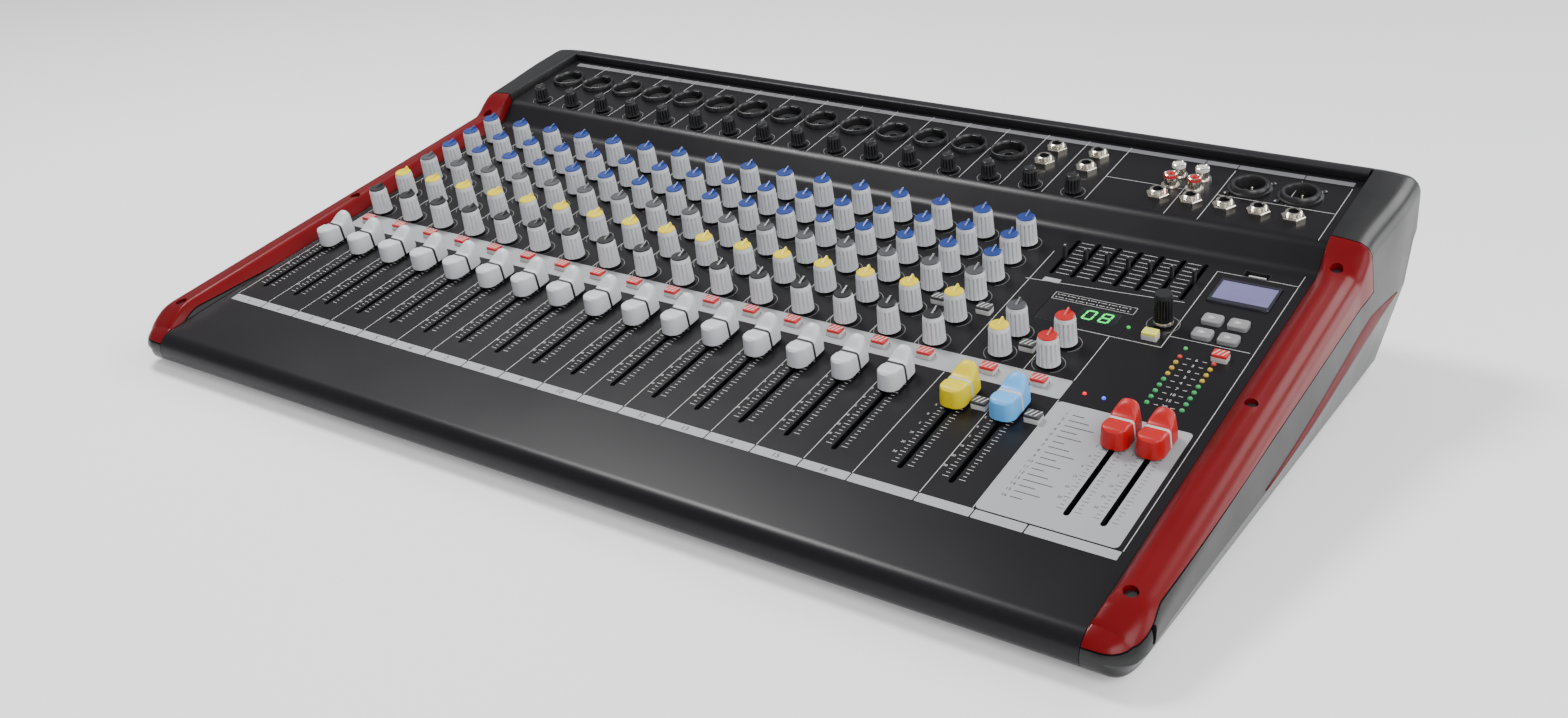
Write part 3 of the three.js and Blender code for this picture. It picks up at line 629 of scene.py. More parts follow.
def knob_tree():
    """A fluted, tapering knob on every point."""
    name = "Fluted knobs"
    if name in bpy.data.node_groups:
        return bpy.data.node_groups[name]
    tree, entry, leave = new_tree(
        name,
        [
            ("Radius", "NodeSocketFloat", 6.3),
            ("Height", "NodeSocketFloat", 18.0),
            ("Flutes", "NodeSocketInt", 14),
            ("Flute Depth", "NodeSocketFloat", 0.2),
            ("Taper", "NodeSocketFloat", 0.14),
            ("Material", "NodeSocketMaterial", None),
        ],
    )
    body = tree.nodes.new("GeometryNodeMeshCylinder")
    tree.links.new(maths(tree, "MULTIPLY", entry.outputs["Flutes"], 4), body.inputs["Vertices"])
    body.inputs["Side Segments"].default_value = 7
    tree.links.new(entry.outputs["Radius"], body.inputs["Radius"])
    tree.links.new(entry.outputs["Height"], body.inputs["Depth"])
    place = tree.nodes.new("GeometryNodeInputPosition")
    apart = tree.nodes.new("ShaderNodeSeparateXYZ")
    tree.links.new(place.outputs["Position"], apart.inputs["Vector"])
    # Height as a share, 0 at the skirt and 1 at the top.
    share = maths(
        tree, "ADD", maths(tree, "DIVIDE", apart.outputs["Z"], entry.outputs["Height"]), 0.5
    )
    angle = maths(tree, "ARCTAN2", apart.outputs["Y"], apart.outputs["X"])
    wave = maths(tree, "COSINE", maths(tree, "MULTIPLY", angle, entry.outputs["Flutes"]))
    groove = maths(tree, "POWER", maths(tree, "ADD", maths(tree, "MULTIPLY", wave, 0.5), 0.5), 3)
    rise = maths(tree, "GREATER_THAN", share, 0.05)
    fall = maths(tree, "LESS_THAN", share, 0.8)
    depth = maths(tree, "MULTIPLY", maths(tree, "MULTIPLY", groove, entry.outputs["Flute Depth"]), rise)
    depth = maths(tree, "MULTIPLY", depth, fall)
    crown = maths(tree, "MULTIPLY", maths(tree, "POWER", share, 18), 0.07)
    narrowing = maths(tree, "MULTIPLY", share, entry.outputs["Taper"])
    left = maths(tree, "SUBTRACT", 1.0, narrowing)
    left = maths(tree, "SUBTRACT", left, depth)
    left = maths(tree, "SUBTRACT", left, crown)
    scaled_x = maths(tree, "MULTIPLY", apart.outputs["X"], left)
    scaled_y = maths(tree, "MULTIPLY", apart.outputs["Y"], left)
    raised = maths(tree, "ADD", apart.outputs["Z"], maths(tree, "MULTIPLY", entry.outputs["Height"], 0.5))
    together = tree.nodes.new("ShaderNodeCombineXYZ")
    tree.links.new(scaled_x, together.inputs["X"])
    tree.links.new(scaled_y, together.inputs["Y"])
    tree.links.new(raised, together.inputs["Z"])
    shift = tree.nodes.new("GeometryNodeSetPosition")
    tree.links.new(body.outputs["Mesh"], shift.inputs["Geometry"])
    tree.links.new(together.outputs["Vector"], shift.inputs["Position"])
    spread = tree.nodes.new("GeometryNodeInstanceOnPoints")
    tree.links.new(entry.outputs["Geometry"], spread.inputs["Points"])
    tree.links.new(shift.outputs["Geometry"], spread.inputs["Instance"])
    end_tree(tree, entry, leave, spread.outputs["Instances"])
    return tree


def scale_tree():
    """A ladder of printed ticks on every point, every fifth one longer."""
    name = "Printed tick scale"
    if name in bpy.data.node_groups:
        return bpy.data.node_groups[name]
    tree, entry, leave = new_tree(
        name,
        [
            ("Count", "NodeSocketInt", 20),
            ("Spacing", "NodeSocketFloat", 3.0),
            ("Length", "NodeSocketFloat", 2.4),
            ("Longer", "NodeSocketFloat", 1.5),
            ("Every", "NodeSocketInt", 3),
            ("Width", "NodeSocketFloat", 0.3),
            ("Material", "NodeSocketMaterial", None),
        ],
    )
    ladder = tree.nodes.new("GeometryNodeMeshLine")
    step = tree.nodes.new("ShaderNodeCombineXYZ")
    tree.links.new(entry.outputs["Spacing"], step.inputs["Y"])
    tree.links.new(entry.outputs["Count"], ladder.inputs["Count"])
    tree.links.new(step.outputs["Vector"], ladder.inputs["Offset"])
    tick = tree.nodes.new("GeometryNodeMeshCube")
    tick_size = tree.nodes.new("ShaderNodeCombineXYZ")
    tree.links.new(entry.outputs["Length"], tick_size.inputs["X"])
    tree.links.new(entry.outputs["Width"], tick_size.inputs["Y"])
    tick_size.inputs["Z"].default_value = INK
    tree.links.new(tick_size.outputs["Vector"], tick.inputs["Size"])
    index = tree.nodes.new("GeometryNodeInputIndex")
    rest = maths(tree, "MODULO", index.outputs["Index"], entry.outputs["Every"])
    strong = maths(tree, "LESS_THAN", rest, 0.5)
    extra = maths(tree, "MULTIPLY", strong, maths(tree, "SUBTRACT", entry.outputs["Longer"], 1.0))
    stretch = tree.nodes.new("ShaderNodeCombineXYZ")
    tree.links.new(maths(tree, "ADD", extra, 1.0), stretch.inputs["X"])
    stretch.inputs["Y"].default_value = 1
    stretch.inputs["Z"].default_value = 1
    rungs = tree.nodes.new("GeometryNodeInstanceOnPoints")
    tree.links.new(ladder.outputs["Mesh"], rungs.inputs["Points"])
    tree.links.new(tick.outputs["Mesh"], rungs.inputs["Instance"])
    tree.links.new(stretch.outputs["Vector"], rungs.inputs["Scale"])
    spread = tree.nodes.new("GeometryNodeInstanceOnPoints")
    tree.links.new(entry.outputs["Geometry"], spread.inputs["Points"])
    tree.links.new(rungs.outputs["Instances"], spread.inputs["Instance"])
    end_tree(tree, entry, leave, spread.outputs["Instances"])
    return tree


def dial_tree():
    """A printed arc round every point, open towards the user."""
    name = "Printed dial arcs"
    if name in bpy.data.node_groups:
        return bpy.data.node_groups[name]
    tree, entry, leave = new_tree(
        name,
        [
            ("Radius", "NodeSocketFloat", 8.6),
            ("Start", "NodeSocketFloat", math.radians(-60)),
            ("Sweep", "NodeSocketFloat", math.radians(300)),
            ("Width", "NodeSocketFloat", 0.3),
            ("Material", "NodeSocketMaterial", None),
        ],
    )
    line = tree.nodes.new("GeometryNodeCurveArc")
    line.inputs["Resolution"].default_value = 20
    tree.links.new(entry.outputs["Radius"], line.inputs["Radius"])
    tree.links.new(entry.outputs["Start"], line.inputs["Start Angle"])
    tree.links.new(entry.outputs["Sweep"], line.inputs["Sweep Angle"])
    nib = tree.nodes.new("GeometryNodeCurvePrimitiveQuadrilateral")
    nib.inputs["Height"].default_value = INK
    tree.links.new(entry.outputs["Width"], nib.inputs["Width"])
    stroke = tree.nodes.new("GeometryNodeCurveToMesh")
    stroke.inputs["Fill Caps"].default_value = True
    tree.links.new(line.outputs["Curve"], stroke.inputs["Curve"])
    tree.links.new(nib.outputs["Curve"], stroke.inputs["Profile Curve"])
    spread = tree.nodes.new("GeometryNodeInstanceOnPoints")
    tree.links.new(entry.outputs["Geometry"], spread.inputs["Points"])
    tree.links.new(stroke.outputs["Mesh"], spread.inputs["Instance"])
    end_tree(tree, entry, leave, spread.outputs["Instances"])
    return tree


def grow(name, tree, points, values, matrix, smooth=35):
    """Runs a tree on points given in millimetres and keeps the result as a plain mesh piece."""
    seed = bpy.data.meshes.new("points")
    seed.from_pydata([tuple(point) for point in points], [], [])
    holder = bpy.data.objects.new("points", seed)
    bpy.context.scene.collection.objects.link(holder)
    modifier = holder.modifiers.new("grow", "NODES")
    modifier.node_group = tree
    for item in tree.interface.items_tree:
        if item.item_type == "SOCKET" and item.in_out == "INPUT" and item.name in values:
            modifier[item.identifier] = values[item.name]
    depsgraph = bpy.context.evaluated_depsgraph_get()
    mesh = bpy.data.meshes.new_from_object(holder.evaluated_get(depsgraph))
    holder.modifiers.clear()
    bpy.data.objects.remove(holder)
    bpy.data.meshes.remove(seed)
    mesh.transform(matrix)
    return link(name, mesh, [values["Material"]], smooth)


def repeat(name, shape, points, material, matrix, turn=0.0, smooth=35):
    """Copies of one small shape on many points, as one piece."""
    pattern = bpy.data.objects.new("pattern", to_mesh(shape))
    bpy.context.scene.collection.objects.link(pattern)
    values = {"Piece": pattern, "Turn": turn, "Material": material}
    piece = grow(name, repeat_tree(), points, values, matrix, smooth)
    bpy.data.objects.remove(pattern)
    return piece


def add_shape(name, shape, material, matrix, smooth=35):
    return link(name, to_mesh(shape, matrix), [material], smooth)


# ---- Lettering: numbers only ------------------------------------------------------------------


def number_shape(text, height, x, y, n):
    """A number as thin ink, in deck millimetres, centred on a place."""
    curve = bpy.data.curves.new("number", "FONT")
    curve.body = text
    curve.size = height * 1.35
    curve.align_x = "CENTER"
    curve.align_y = "CENTER"
    curve.resolution_u = 2
    curve.extrude = INK / 2
    holder = bpy.data.objects.new("number", curve)
    bpy.context.scene.collection.objects.link(holder)
    depsgraph = bpy.context.evaluated_depsgraph_get()
    mesh = bpy.data.meshes.new_from_object(holder.evaluated_get(depsgraph))
    shape = bmesh.new()
    shape.from_mesh(mesh)
    bpy.data.meshes.remove(mesh)
    bpy.data.objects.remove(holder)
    return moved(shape, x, y, n + INK / 2)


# ---- Deck -------------------------------------------------------------------------------------


def arc(cx, cy, radius, start, end, steps):
    return [
        (
            cx + radius * math.cos(start + (end - start) * i / steps),
            cy + radius * math.sin(start + (end - start) * i / steps),
        )
        for i in range(steps + 1)
    ]


def rounded_path(points, radius, steps=5):
    """An open path whose inner corners are rounded."""
    path = [points[0]]
    for before, corner, after in zip(points, points[1:], points[2:]):
        a, c, b = Vector(before), Vector(corner), Vector(after)
        reach = min(radius, (a - c).length / 3, (b - c).length / 3)
        start = c + (a - c).normalized() * reach
        end = c + (b - c).normalized() * reach
        for i in range(steps + 1):
            t = i / steps
            point = start * (1 - t) ** 2 + c * 2 * t * (1 - t) + end * t**2
            path.append((point.x, point.y))
    return path + [points[-1]]


def folded(path, thickness):
    """The outline of a bent sheet: the path and its offset on the right-hand side."""
    offset = []
    for i, point in enumerate(path):
        here = Vector(point)
        into = (here - Vector(path[i - 1])).normalized() if i else None
        out = (Vector(path[i + 1]) - here).normalized() if i < len(path) - 1 else None
        into, out = into or out, out or into
        normal = Vector((into.y + out.y, -into.x - out.x)).normalized()
        spread = max(normal.dot(Vector((into.y, -into.x))), 0.5)
        place = here + normal * (thickness / spread)
        offset.append((place.x, place.y))
    return list(path) + offset[::-1]


def along_x(outline, x0, x1):
    """An outline of (v, n) points between two planes across the deck."""
    return loft([[(x, v, n) for v, n in outline] for x in (x0, x1)])


def stadium(x, v0, v1, width, low, high):
    """A slot with round ends."""
    half = width / 2
    outline = arc(x, v1 - half, half, 0, math.pi, 6) + arc(
        x, v0 + half, half, math.pi, 2 * math.pi, 6
    )
    return plate(outline, low, high)


def nose_path(L):
    """The nose and the deck up to the back of the connector deck, as (v, n)."""
    nose = arc(-L.apron, -L.nose, L.nose - 0.06, 1.5 * math.pi - L.tilt, math.pi / 2, 26)
    rest = rounded_path(
        [nose[-1], (L.riser_foot, 0), (L.connector_front, L.rise), (L.connector_back, L.rise)],
        4,
    )
    return nose + rest[1:]


FADERS = [f"channel_{k + 1:02d}_fader" for k in range(CHANNELS)] + [
    "effects_fader",
    "player_fader",
    "main_left_fader",
    "main_right_fader",
]
MASTER_KNOBS = ["effects_return_knob", "effects_aux_knob", "player_level_knob", "headphone_level_knob"]
SINGLE_BUTTONS = ["channel_01_cue_button", "phantom_power_button", "tap_tempo_button"]


def fader_columns(L):
    return [L.column(k) for k in range(CHANNELS)] + [
        L.effects_x,
        L.player_x,
        L.main_left,
        L.main_right,
    ]


def cue_places(L):
    places = [(L.column(k) + 2.5, L.cue_row) for k in range(CHANNELS)]
    return places + [(L.effects_x + 2.4, L.cue_row), (L.player_x + 3.2, L.cue_row)]


def routing_places(L):
    beside = L.slot_back - 6.4
    return [
        (L.effects_x + 12.6, beside),
        (L.player_x + 14, beside),
        (L.effects_x + 11.7, L.pan_row + 12.1),
    ]


def stereo_places(L):
    return [(L.column(k) + 11.2, L.effects_row + 12.2) for k in (14, 15)]


def key_places(L):
    return [
        (L.master + 106.4 + 13.8 * i, L.tone_rows[0] - 12.6 + 14.9 * j)
        for i in (0, 1)
        for j in (0, 1)
    ]


def combo_places(L):
    return [(L.left + (k + 0.5) * L.pitch, L.combo_row) for k in range(MICROPHONES)]


def gain_places(L):
    return [(L.left + (k + 0.63) * L.pitch, L.gain_row) for k in range(CHANNELS)]


def stereo_jacks(L):
    return [
        (L.left + (k + 0.47) * L.pitch, v)
        for k in (14, 15)
        for v in (L.combo_row - 5.2, L.combo_row + 13.2)
    ]


def output_jacks(L):
    return [(L.master + 37.4 + 19.66 * i, L.jack_row) for i in range(5)]


def socket_edges(L):
    """Printed edges between the five jack sockets, just right of the middle."""
    xs = [x for x, _ in output_jacks(L)]
    return [(a + b) / 2 + 1 for a, b in zip(xs, xs[1:])]


def phono_places(L, row):
    return [(L.master + 39.6 + dx, L.combo_row + row) for dx in (0, 14.3)]


def xlr_places(L):
    return [(L.master + dx, L.combo_row + 3.3) for dx in (82.8, 111.9)]


DISPLAY = (49, 30)
SCREEN = (34, 25)
USB = (15, 7)


def display_place(L):
    return L.master + 43.3, L.tone_rows[0] - 14.4


def screen_place(L):
    return L.master + 112.9, L.riser_foot - 33


def usb_place(L):
    return L.master + 112.2, L.riser_foot - 11


class ConsoleOperator:
    bl_options = {"REGISTER", "UNDO"}


class CONSOLE_OT_top_panel(ConsoleOperator, bpy.types.Operator):
    """Folds the top panel from the nose to the back and cuts its slots and holes"""

    bl_idname = "console.top_panel"
    bl_label = "Top panel"

    def execute(self, context):
        L = layout()
        skin = along_x(folded(nose_path(L), L.sheet), -L.half, L.half)
        panel = link("top_panel_sheet", to_mesh(skin, L.deck), [deck_coat()], 30)
        cuts = [stadium(x, L.slot_front, L.slot_back, 3, -4, 4) for x in fader_columns(L)]
        cuts += [stadium(x, L.band_row - 20, L.band_row + 20, 2.6, -4, 4) for x in L.bands]
        for name in [*MASTER_KNOBS, "program_select_knob"]:
            cuts.append(disc(3.4, -4, 4, 20, L.node(name)))
        buttons = cue_places(L) + routing_places(L) + stereo_places(L)
        buttons += [L.node(name) for name in SINGLE_BUTTONS[1:]]
        for place in buttons:
            cuts.append(plate(rounded_outline(9.1, 7.1, 0.8, 2, place), -4, 4))
        for place in key_places(L):
            cuts.append(plate(rounded_outline(11.6, 9.6, 2.2, 3, place), -4, 4))
        cuts.append(plate(rounded_outline(*DISPLAY, 1, 2, display_place(L)), -4, 4))
        cuts.append(plate(rounded_outline(*SCREEN, 1, 2, screen_place(L)), -4, 4))
        cuts.append(plate(rounded_outline(*USB, 0.8, 2, usb_place(L)), -4, 4))
        above, below = L.rise + 4, L.rise - 4
        for place in combo_places(L) + xlr_places(L):
            cuts.append(disc(10.8, below, above, 32, place))
        for place in stereo_jacks(L) + output_jacks(L):
            cuts.append(disc(5.2, below, above, 20, place))
        for place in phono_places(L, -8.4) + phono_places(L, 5):
            cuts.append(disc(4.4, below, above, 20, place))
        cuts.append(disc(3, below, above, 20, gain_places(L)[0]))
        cutter = joined(cuts)
        bmesh.ops.transform(cutter, matrix=L.deck, verts=cutter.verts)
        cut(panel, cutter)
        finish_piece(panel, "console", ["top_panel"])
        return {"FINISHED"}


# ---- Printing ---------------------------------------------------------------------------------


def ink_line(x0, v0, x1, v1, width=0.35, n=0.0):
    """A printed line between two places."""
    a, b = Vector((x0, v0)), Vector((x1, v1))
    along = (b - a).normalized()
    side = Vector((-along.y, along.x)) * width / 2
    corners = [a + side, a - side, b - side, b + side]
    return plate([(c.x, c.y) for c in corners], n, n + INK)


def ink_path(points, width=0.35, n=0.0):
    return [ink_line(*a, *b, width, n) for a, b in zip(points, points[1:])]


class CONSOLE_OT_printing(ConsoleOperator, bpy.types.Operator):
    """Prints the grey strips, lines, scales and numbers on the deck"""

    bl_idname = "console.printing"
    bl_label = "Printing"

    def grey_areas(self, L):
        edges = [L.left + k * L.pitch for k in range(CHANNELS + 1)]
        edges += [L.player_edge, L.display_edge + 1.4, L.main_edge, L.right]
        shapes = []
        for x0, x1 in zip(edges, edges[1:]):
            middle = ((x0 + x1) / 2, 3.05)
            shapes.append(plate(rounded_outline(x1 - x0 - 0.7, 6.1, 0.5, 2, middle), 0, INK))
        middle = ((L.left + L.display_edge) / 2, (L.cue_front + L.cue_back) / 2)
        band = rounded_outline(L.display_edge - L.left, 17.1, 1.2, 3, middle)
        shapes.append(plate(band, 0, INK))
        x0, x1 = L.display_edge + 0.3, L.right - 2.8
        main = rounded_outline(x1 - x0, 91.4, 2.5, 4, ((x0 + x1) / 2, 52.8))
        shapes.append(plate(main, 0, INK))
        tag = rounded_outline(10, 4.2, 0.8, 3, (L.effects_x - 6, L.riser_foot - 55.5))
        shapes.append(plate(tag, 0, INK))
        piece = add_shape("grey_printing", joined(shapes), grey_print(), L.deck)
        openings = [
            stadium(x, L.slot_front, L.slot_back, 3, -1, 1) for x in (L.main_left, L.main_right)
        ]
        openings += [plate(rounded_outline(9.1, 7.1, 0.8, 2, place), -1, 1) for place in cue_places(L)]
        cutter = joined(openings)
        bmesh.ops.transform(cutter, matrix=L.deck, verts=cutter.verts)
        cut(piece, cutter)
        finish_piece(piece, "console")

    def back_strip(self, L):
        """The dim strip behind the sockets, one length for each channel."""
        edges = [L.left + k * L.pitch for k in range(CHANNELS + 1)]
        first, second, _, fourth = socket_edges(L)
        edges += [first, second, fourth, L.right]
        shapes = []
        for x0, x1 in zip(edges, edges[1:]):
            middle = ((x0 + x1) / 2, L.connector_back - 5.7)
            outline = rounded_outline(x1 - x0 - 0.6, 4.9, 0.4, 2, middle)
            shapes.append(plate(outline, L.rise, L.rise + INK))
        dim = tinted("dim grey print", (0.15, 0.15, 0.16), 0.5)
        piece = add_shape("back_strip", joined(shapes), dim, L.deck)
        finish_piece(piece, "console")

    def lower_lines(self, L):
        """The master section's lines on the lower deck, each a path of (x, v)."""
        player, display, main = L.player_edge, L.display_edge, L.main_edge
        foot, step, head = L.aux_row - 9.6, L.aux_row + 2, L.riser_foot - 14.3
        # This one line slopes up to the right, where the rest follow the rows.
        sloping = [(L.master - 2.2, L.tone_rows[0] + 7), (L.main_edge - 4.8, L.tone_rows[0] + 14.4)]
        return [
            [(player, L.print_front), (player, L.cue_front)],
            [(display, L.print_front), (display, L.cue_front)],
            sloping,
            [(player, L.cue_back), (player, foot)],
            [(display, L.cue_back), (display, foot), (player, foot)],
            [(display, foot), (main, foot)],
            [(main, step), (L.right - 2, step)],
            [(main, foot), (main, head)],
            [(L.right, L.print_front), (L.right, L.riser_foot - 2.7)],
            [(main, head), (L.right, head)],
        ]

    def upper_lines(self, L):
        """The master section's lines between the sockets on the raised deck."""
        first, second, _, fourth = socket_edges(L)
        front, cross, back = L.connector_front + 1.4, L.combo_row - 9.7, L.connector_back - 11
        return [
            [(first, front), (first, back)],
            [(second, front), (second, back)],
            [(fourth, cross), (fourth, back)],
            [(L.right, front), (L.right, back)],
            [(L.master, cross), (first, cross)],
            [(second, cross), (L.right, cross)],
        ]

    def white_lines(self, L):
        shapes = []
        top = L.riser_foot - 1.5
        for k in range(CHANNELS + 1):
            x = L.left + k * L.pitch
            shapes.append(ink_line(x, L.print_front, x, L.cue_front))
            shapes.append(ink_line(x, L.cue_back, x, top if k < CHANNELS else top - 24))
            if k:
                front, back = L.connector_front + 2, L.connector_back - 2.4
                shapes.append(ink_line(x, front, x, back, n=L.rise))
        for path in self.lower_lines(L):
            shapes += ink_path(path)
        for path in self.upper_lines(L):
            shapes += ink_path(path, n=L.rise)
        piece = add_shape("white_lines", joined(shapes), white_ink(), L.deck)
        finish_piece(piece, "console")

    def scales(self, L):
        columns = fader_columns(L)
        ink, dark = white_ink(), black_ink()
        for name, xs, n, material in (
            ("channel_scales", columns[:-2], 0.0, ink),
            ("main_scales", columns[-2:], INK, dark),
        ):
            points = [(x + side * 4.4, L.slot_front + 4, n) for x in xs for side in (-1, 1)]
            values = {
                "Count": 22,
                "Spacing": 2.8,
                "Length": 1.9,
                "Longer": 1.7,
                "Every": 3,
                "Width": 0.32,
                "Material": material,
            }
            piece = grow(name, scale_tree(), points, values, L.deck)
            finish_piece(piece, "console")
        gaps = [(a + b) / 2 for a, b in zip(L.bands, L.bands[1:])]
        points = [(x, L.band_row - 17.5, 0) for x in gaps]
        values = {
            "Count": 9,
            "Spacing": 4.4,
            "Length": 7.6,
            "Longer": 1.0,
            "Every": 2,
            "Width": 0.35,
            "Material": ink,
        }
        piece = grow("slider_scales", scale_tree(), points, values, L.deck)
        finish_piece(piece, "console")

    def dials(self, L):
        rows = [L.pan_row, L.effects_row, L.aux_row, *L.tone_rows]
        knobs = [(L.column(k), v, INK / 2) for k in range(CHANNELS) for v in rows]
        knobs += [(*L.node(name), INK / 2) for name in [*MASTER_KNOBS, "program_select_knob"]]
        small = [(x, v, L.rise + INK / 2) for x, v in gain_places(L)]
        dim = tinted("dim white ink", (0.22, 0.22, 0.215), 0.55)
        for name, points, radius in (("dial_arcs", knobs, 8.6), ("gain_dial_arcs", small, 7.2)):
            values = {"Radius": radius, "Width": 0.26, "Material": dim}
            piece = grow(name, dial_tree(), points, values, L.deck)
            finish_piece(piece, "console")

    def numbers(self, L):
        dark, pale = [], []
        # The fader scale's numbers, one every 8.4 from the lowest.
        marks = [(text, 80 - 8.4 * i) for i, text in enumerate(FADER_NUMBERS)]
        for k in range(CHANNELS):
            label = str(k + 1)
            dark.append(number_shape(label, 3.5, L.left + (k + 0.5) * L.pitch, 3.05, INK))
        for x in fader_columns(L)[:-2]:
            for text, v in marks:
                pale.append(number_shape(text, 1.7, x - 8.2, v, 0))
        for x in fader_columns(L)[-2:]:
            for text, v in marks:
                dark.append(number_shape(text, 1.7, x - 7.6, v, INK))
        for k, (x, v) in enumerate(combo_places(L)):
            dark.append(number_shape(str(k + 1), 2.6, x, L.connector_back - 5.7, L.rise + INK))
        presets = L.display_edge + 8.5
        for i in range(16):
            v = 90 - 4.6 * i
            dark.append(number_shape(str(i + 1), 2.2, presets, v, INK))
            dark.append(ink_line(presets + 3, v, presets + 9 + 2.2 * (i * 7 % 5), v, 0.55, INK))
        middle = (L.main_left + L.main_right) / 2
        for i, text in enumerate(("20", "15", "10", "7", "4", "2", "0", "3", "6")):
            v = L.meter_front + 5.445 * i
            pale.append(number_shape(text, 2.3, middle, v, 0))
            for side in (-1, 1):
                x = middle + side * 4.2
                pale.append(ink_line(x - 1.1, v, x + 1.1, v, 0.35))
        for name, shapes, material in (
            ("dark_numbers", dark, black_ink()),
            ("pale_numbers", pale, white_ink()),
        ):
            piece = add_shape(name, joined(shapes), material, L.deck)
            finish_piece(piece, "console")

    def execute(self, context):
        L = layout()
        self.grey_areas(L)
        self.back_strip(L)
        self.white_lines(L)
        self.scales(L)
        self.dials(L)
        self.numbers(L)
        return {"FINISHED"}


# ---- Knobs ------------------------------------------------------------------------------------

KNOB_GAP = 1.2
DISC = 0.9


def knobs(name, points, radius, height, material, matrix, taper=0.11, flutes=14):
    values = {
        "Radius": radius,
        "Height": height,
        "Flutes": flutes,
        "Taper": taper,
        "Material": material,
    }
    return grow(name, knob_tree(), points, values, matrix, 40)


def knob_crown(radius, tab):
    """The coloured disc on a knob, with its raised pointer on the far side."""
    crown = turned([(radius, -0.5), (radius, DISC * 0.6), (radius - 0.5, DISC), (0.3, DISC)], 24)
    if not tab:
        return crown
    fin = loft(
        [
            [(-0.9, -1.5, 0), (0.9, -1.5, 0), (0.9, radius + 0.1, 0), (-0.9, radius + 0.1, 0)],
            [
                (-0.6, -0.8, DISC + 0.2),
                (0.6, -0.8, DISC + 0.2),
                (0.45, radius - 0.6, DISC + tab),
                (-0.45, radius - 0.6, DISC + tab),
            ],
        ]
    )
    return joined([crown, fin])


def add_knobs(name, body, places, level, colour_of_disc, replaced, gain=False):
    """Knobs of one body: skirts in one piece, coloured discs in another, shafts in a third."""
    s, L = sizes(), layout()
    if gain:
        radius, top, taper, tab = 5.1, 12.4, 0.22, 0.9
        material = black_plastic()
    else:
        radius, top, taper, tab = s.knob_radius / MM, s.knob_height / MM, 0.11, 1.9
        material = knob_plastic()
    disc_level = top - DISC - tab
    foot = level + KNOB_GAP
    points = [(x, v, foot) for x, v in places]
    skirts = knobs(
        f"{name}_skirts", points, radius, disc_level + 0.2 - KNOB_GAP, material, L.deck, taper
    )
    finish_piece(skirts, body, replaced)
    crown = knob_crown(radius * (1 - taper) - 0.45, tab)
    tops = [(x, v, level + disc_level) for x, v in places]
    discs = repeat(f"{name}_discs", crown, tops, colour_of_disc, L.deck)
    finish_piece(discs, body)
    shaft = turned([(2.9, 0), (2.9, 1.2), (3.6, 2.0)], 16)
    feet = [(x, v, level - 0.2) for x, v in places]
    shafts = repeat(f"{name}_shafts", shaft, feet, black_plastic(), L.deck)
    finish_piece(shafts, body)


class CONSOLE_OT_knobs(ConsoleOperator, bpy.types.Operator):
    """Makes the rotary knobs: tone, sends, master section and gain"""

    bl_idname = "console.knobs"
    bl_label = "Knobs"

    def execute(self, context):
        L, c = layout(), colours()
        blue = tinted("blue disc plastic", c.blue)
        yellow = tinted("yellow disc plastic", c.yellow)
        slate = tinted("slate disc plastic", c.slate)
        red = tinted("red disc plastic", c.red)
        black = black_plastic()
        tone = [(L.column(k), v) for k in range(CHANNELS) for v in L.tone_rows]
        add_knobs("tone_knobs", "console", tone, 0, blue, ["tone_knob_bank"])
        for label, row, tint, replaced in (
            ("pan_knobs", L.pan_row, black, ["send_knob_bank"]),
            ("effects_send_knobs", L.effects_row, yellow, ()),
            ("auxiliary_send_knobs", L.aux_row, slate, ()),
        ):
            places = [(L.column(k), row) for k in range(CHANNELS)]
            add_knobs(label, "console", places, 0, tint, replaced)
        for node, tint in zip(MASTER_KNOBS, (yellow, slate, red, red)):
            add_knobs(node + "_cap", node, [L.node(node)], 0, tint, [node])
        gains = gain_places(L)
        first = "channel_01_gain_knob"
        add_knobs(first + "_cap", first, gains[:1], L.rise, black, [first], True)
        add_knobs(
            "gain_knobs", "console", gains[1:], L.rise, black, ["gain_knob_row"], True
        )
        self.encoder(L)
        return {"FINISHED"}

    def encoder(self, L):
        node = "program_select_knob"
        place = L.node(node)
        body = knobs(
            "program_knob_grip", [(*place, 3.2)], 5.2, 15.9, black_plastic(), L.deck, 0.08, 20
        )
        finish_piece(body, node, [node])
        ring = turned([(3, -0.2), (3, 1.2), (5.3, 1.3), (5.35, 2.6), (4.9, 3.3), (2, 3.3)], 32, place)
        finish_piece(add_shape("program_knob_ring", ring, nickel(), L.deck), node)


# ---- Faders -----------------------------------------------------------------------------------


def between(points, place):
    """A value read off a run of (place, value) points, eased from one to the next."""
    for (a, low), (b, high) in zip(points, points[1:]):
        if place <= b:
            return low + (high - low) * ease((place - a) / (b - a))
    return points[-1][1]


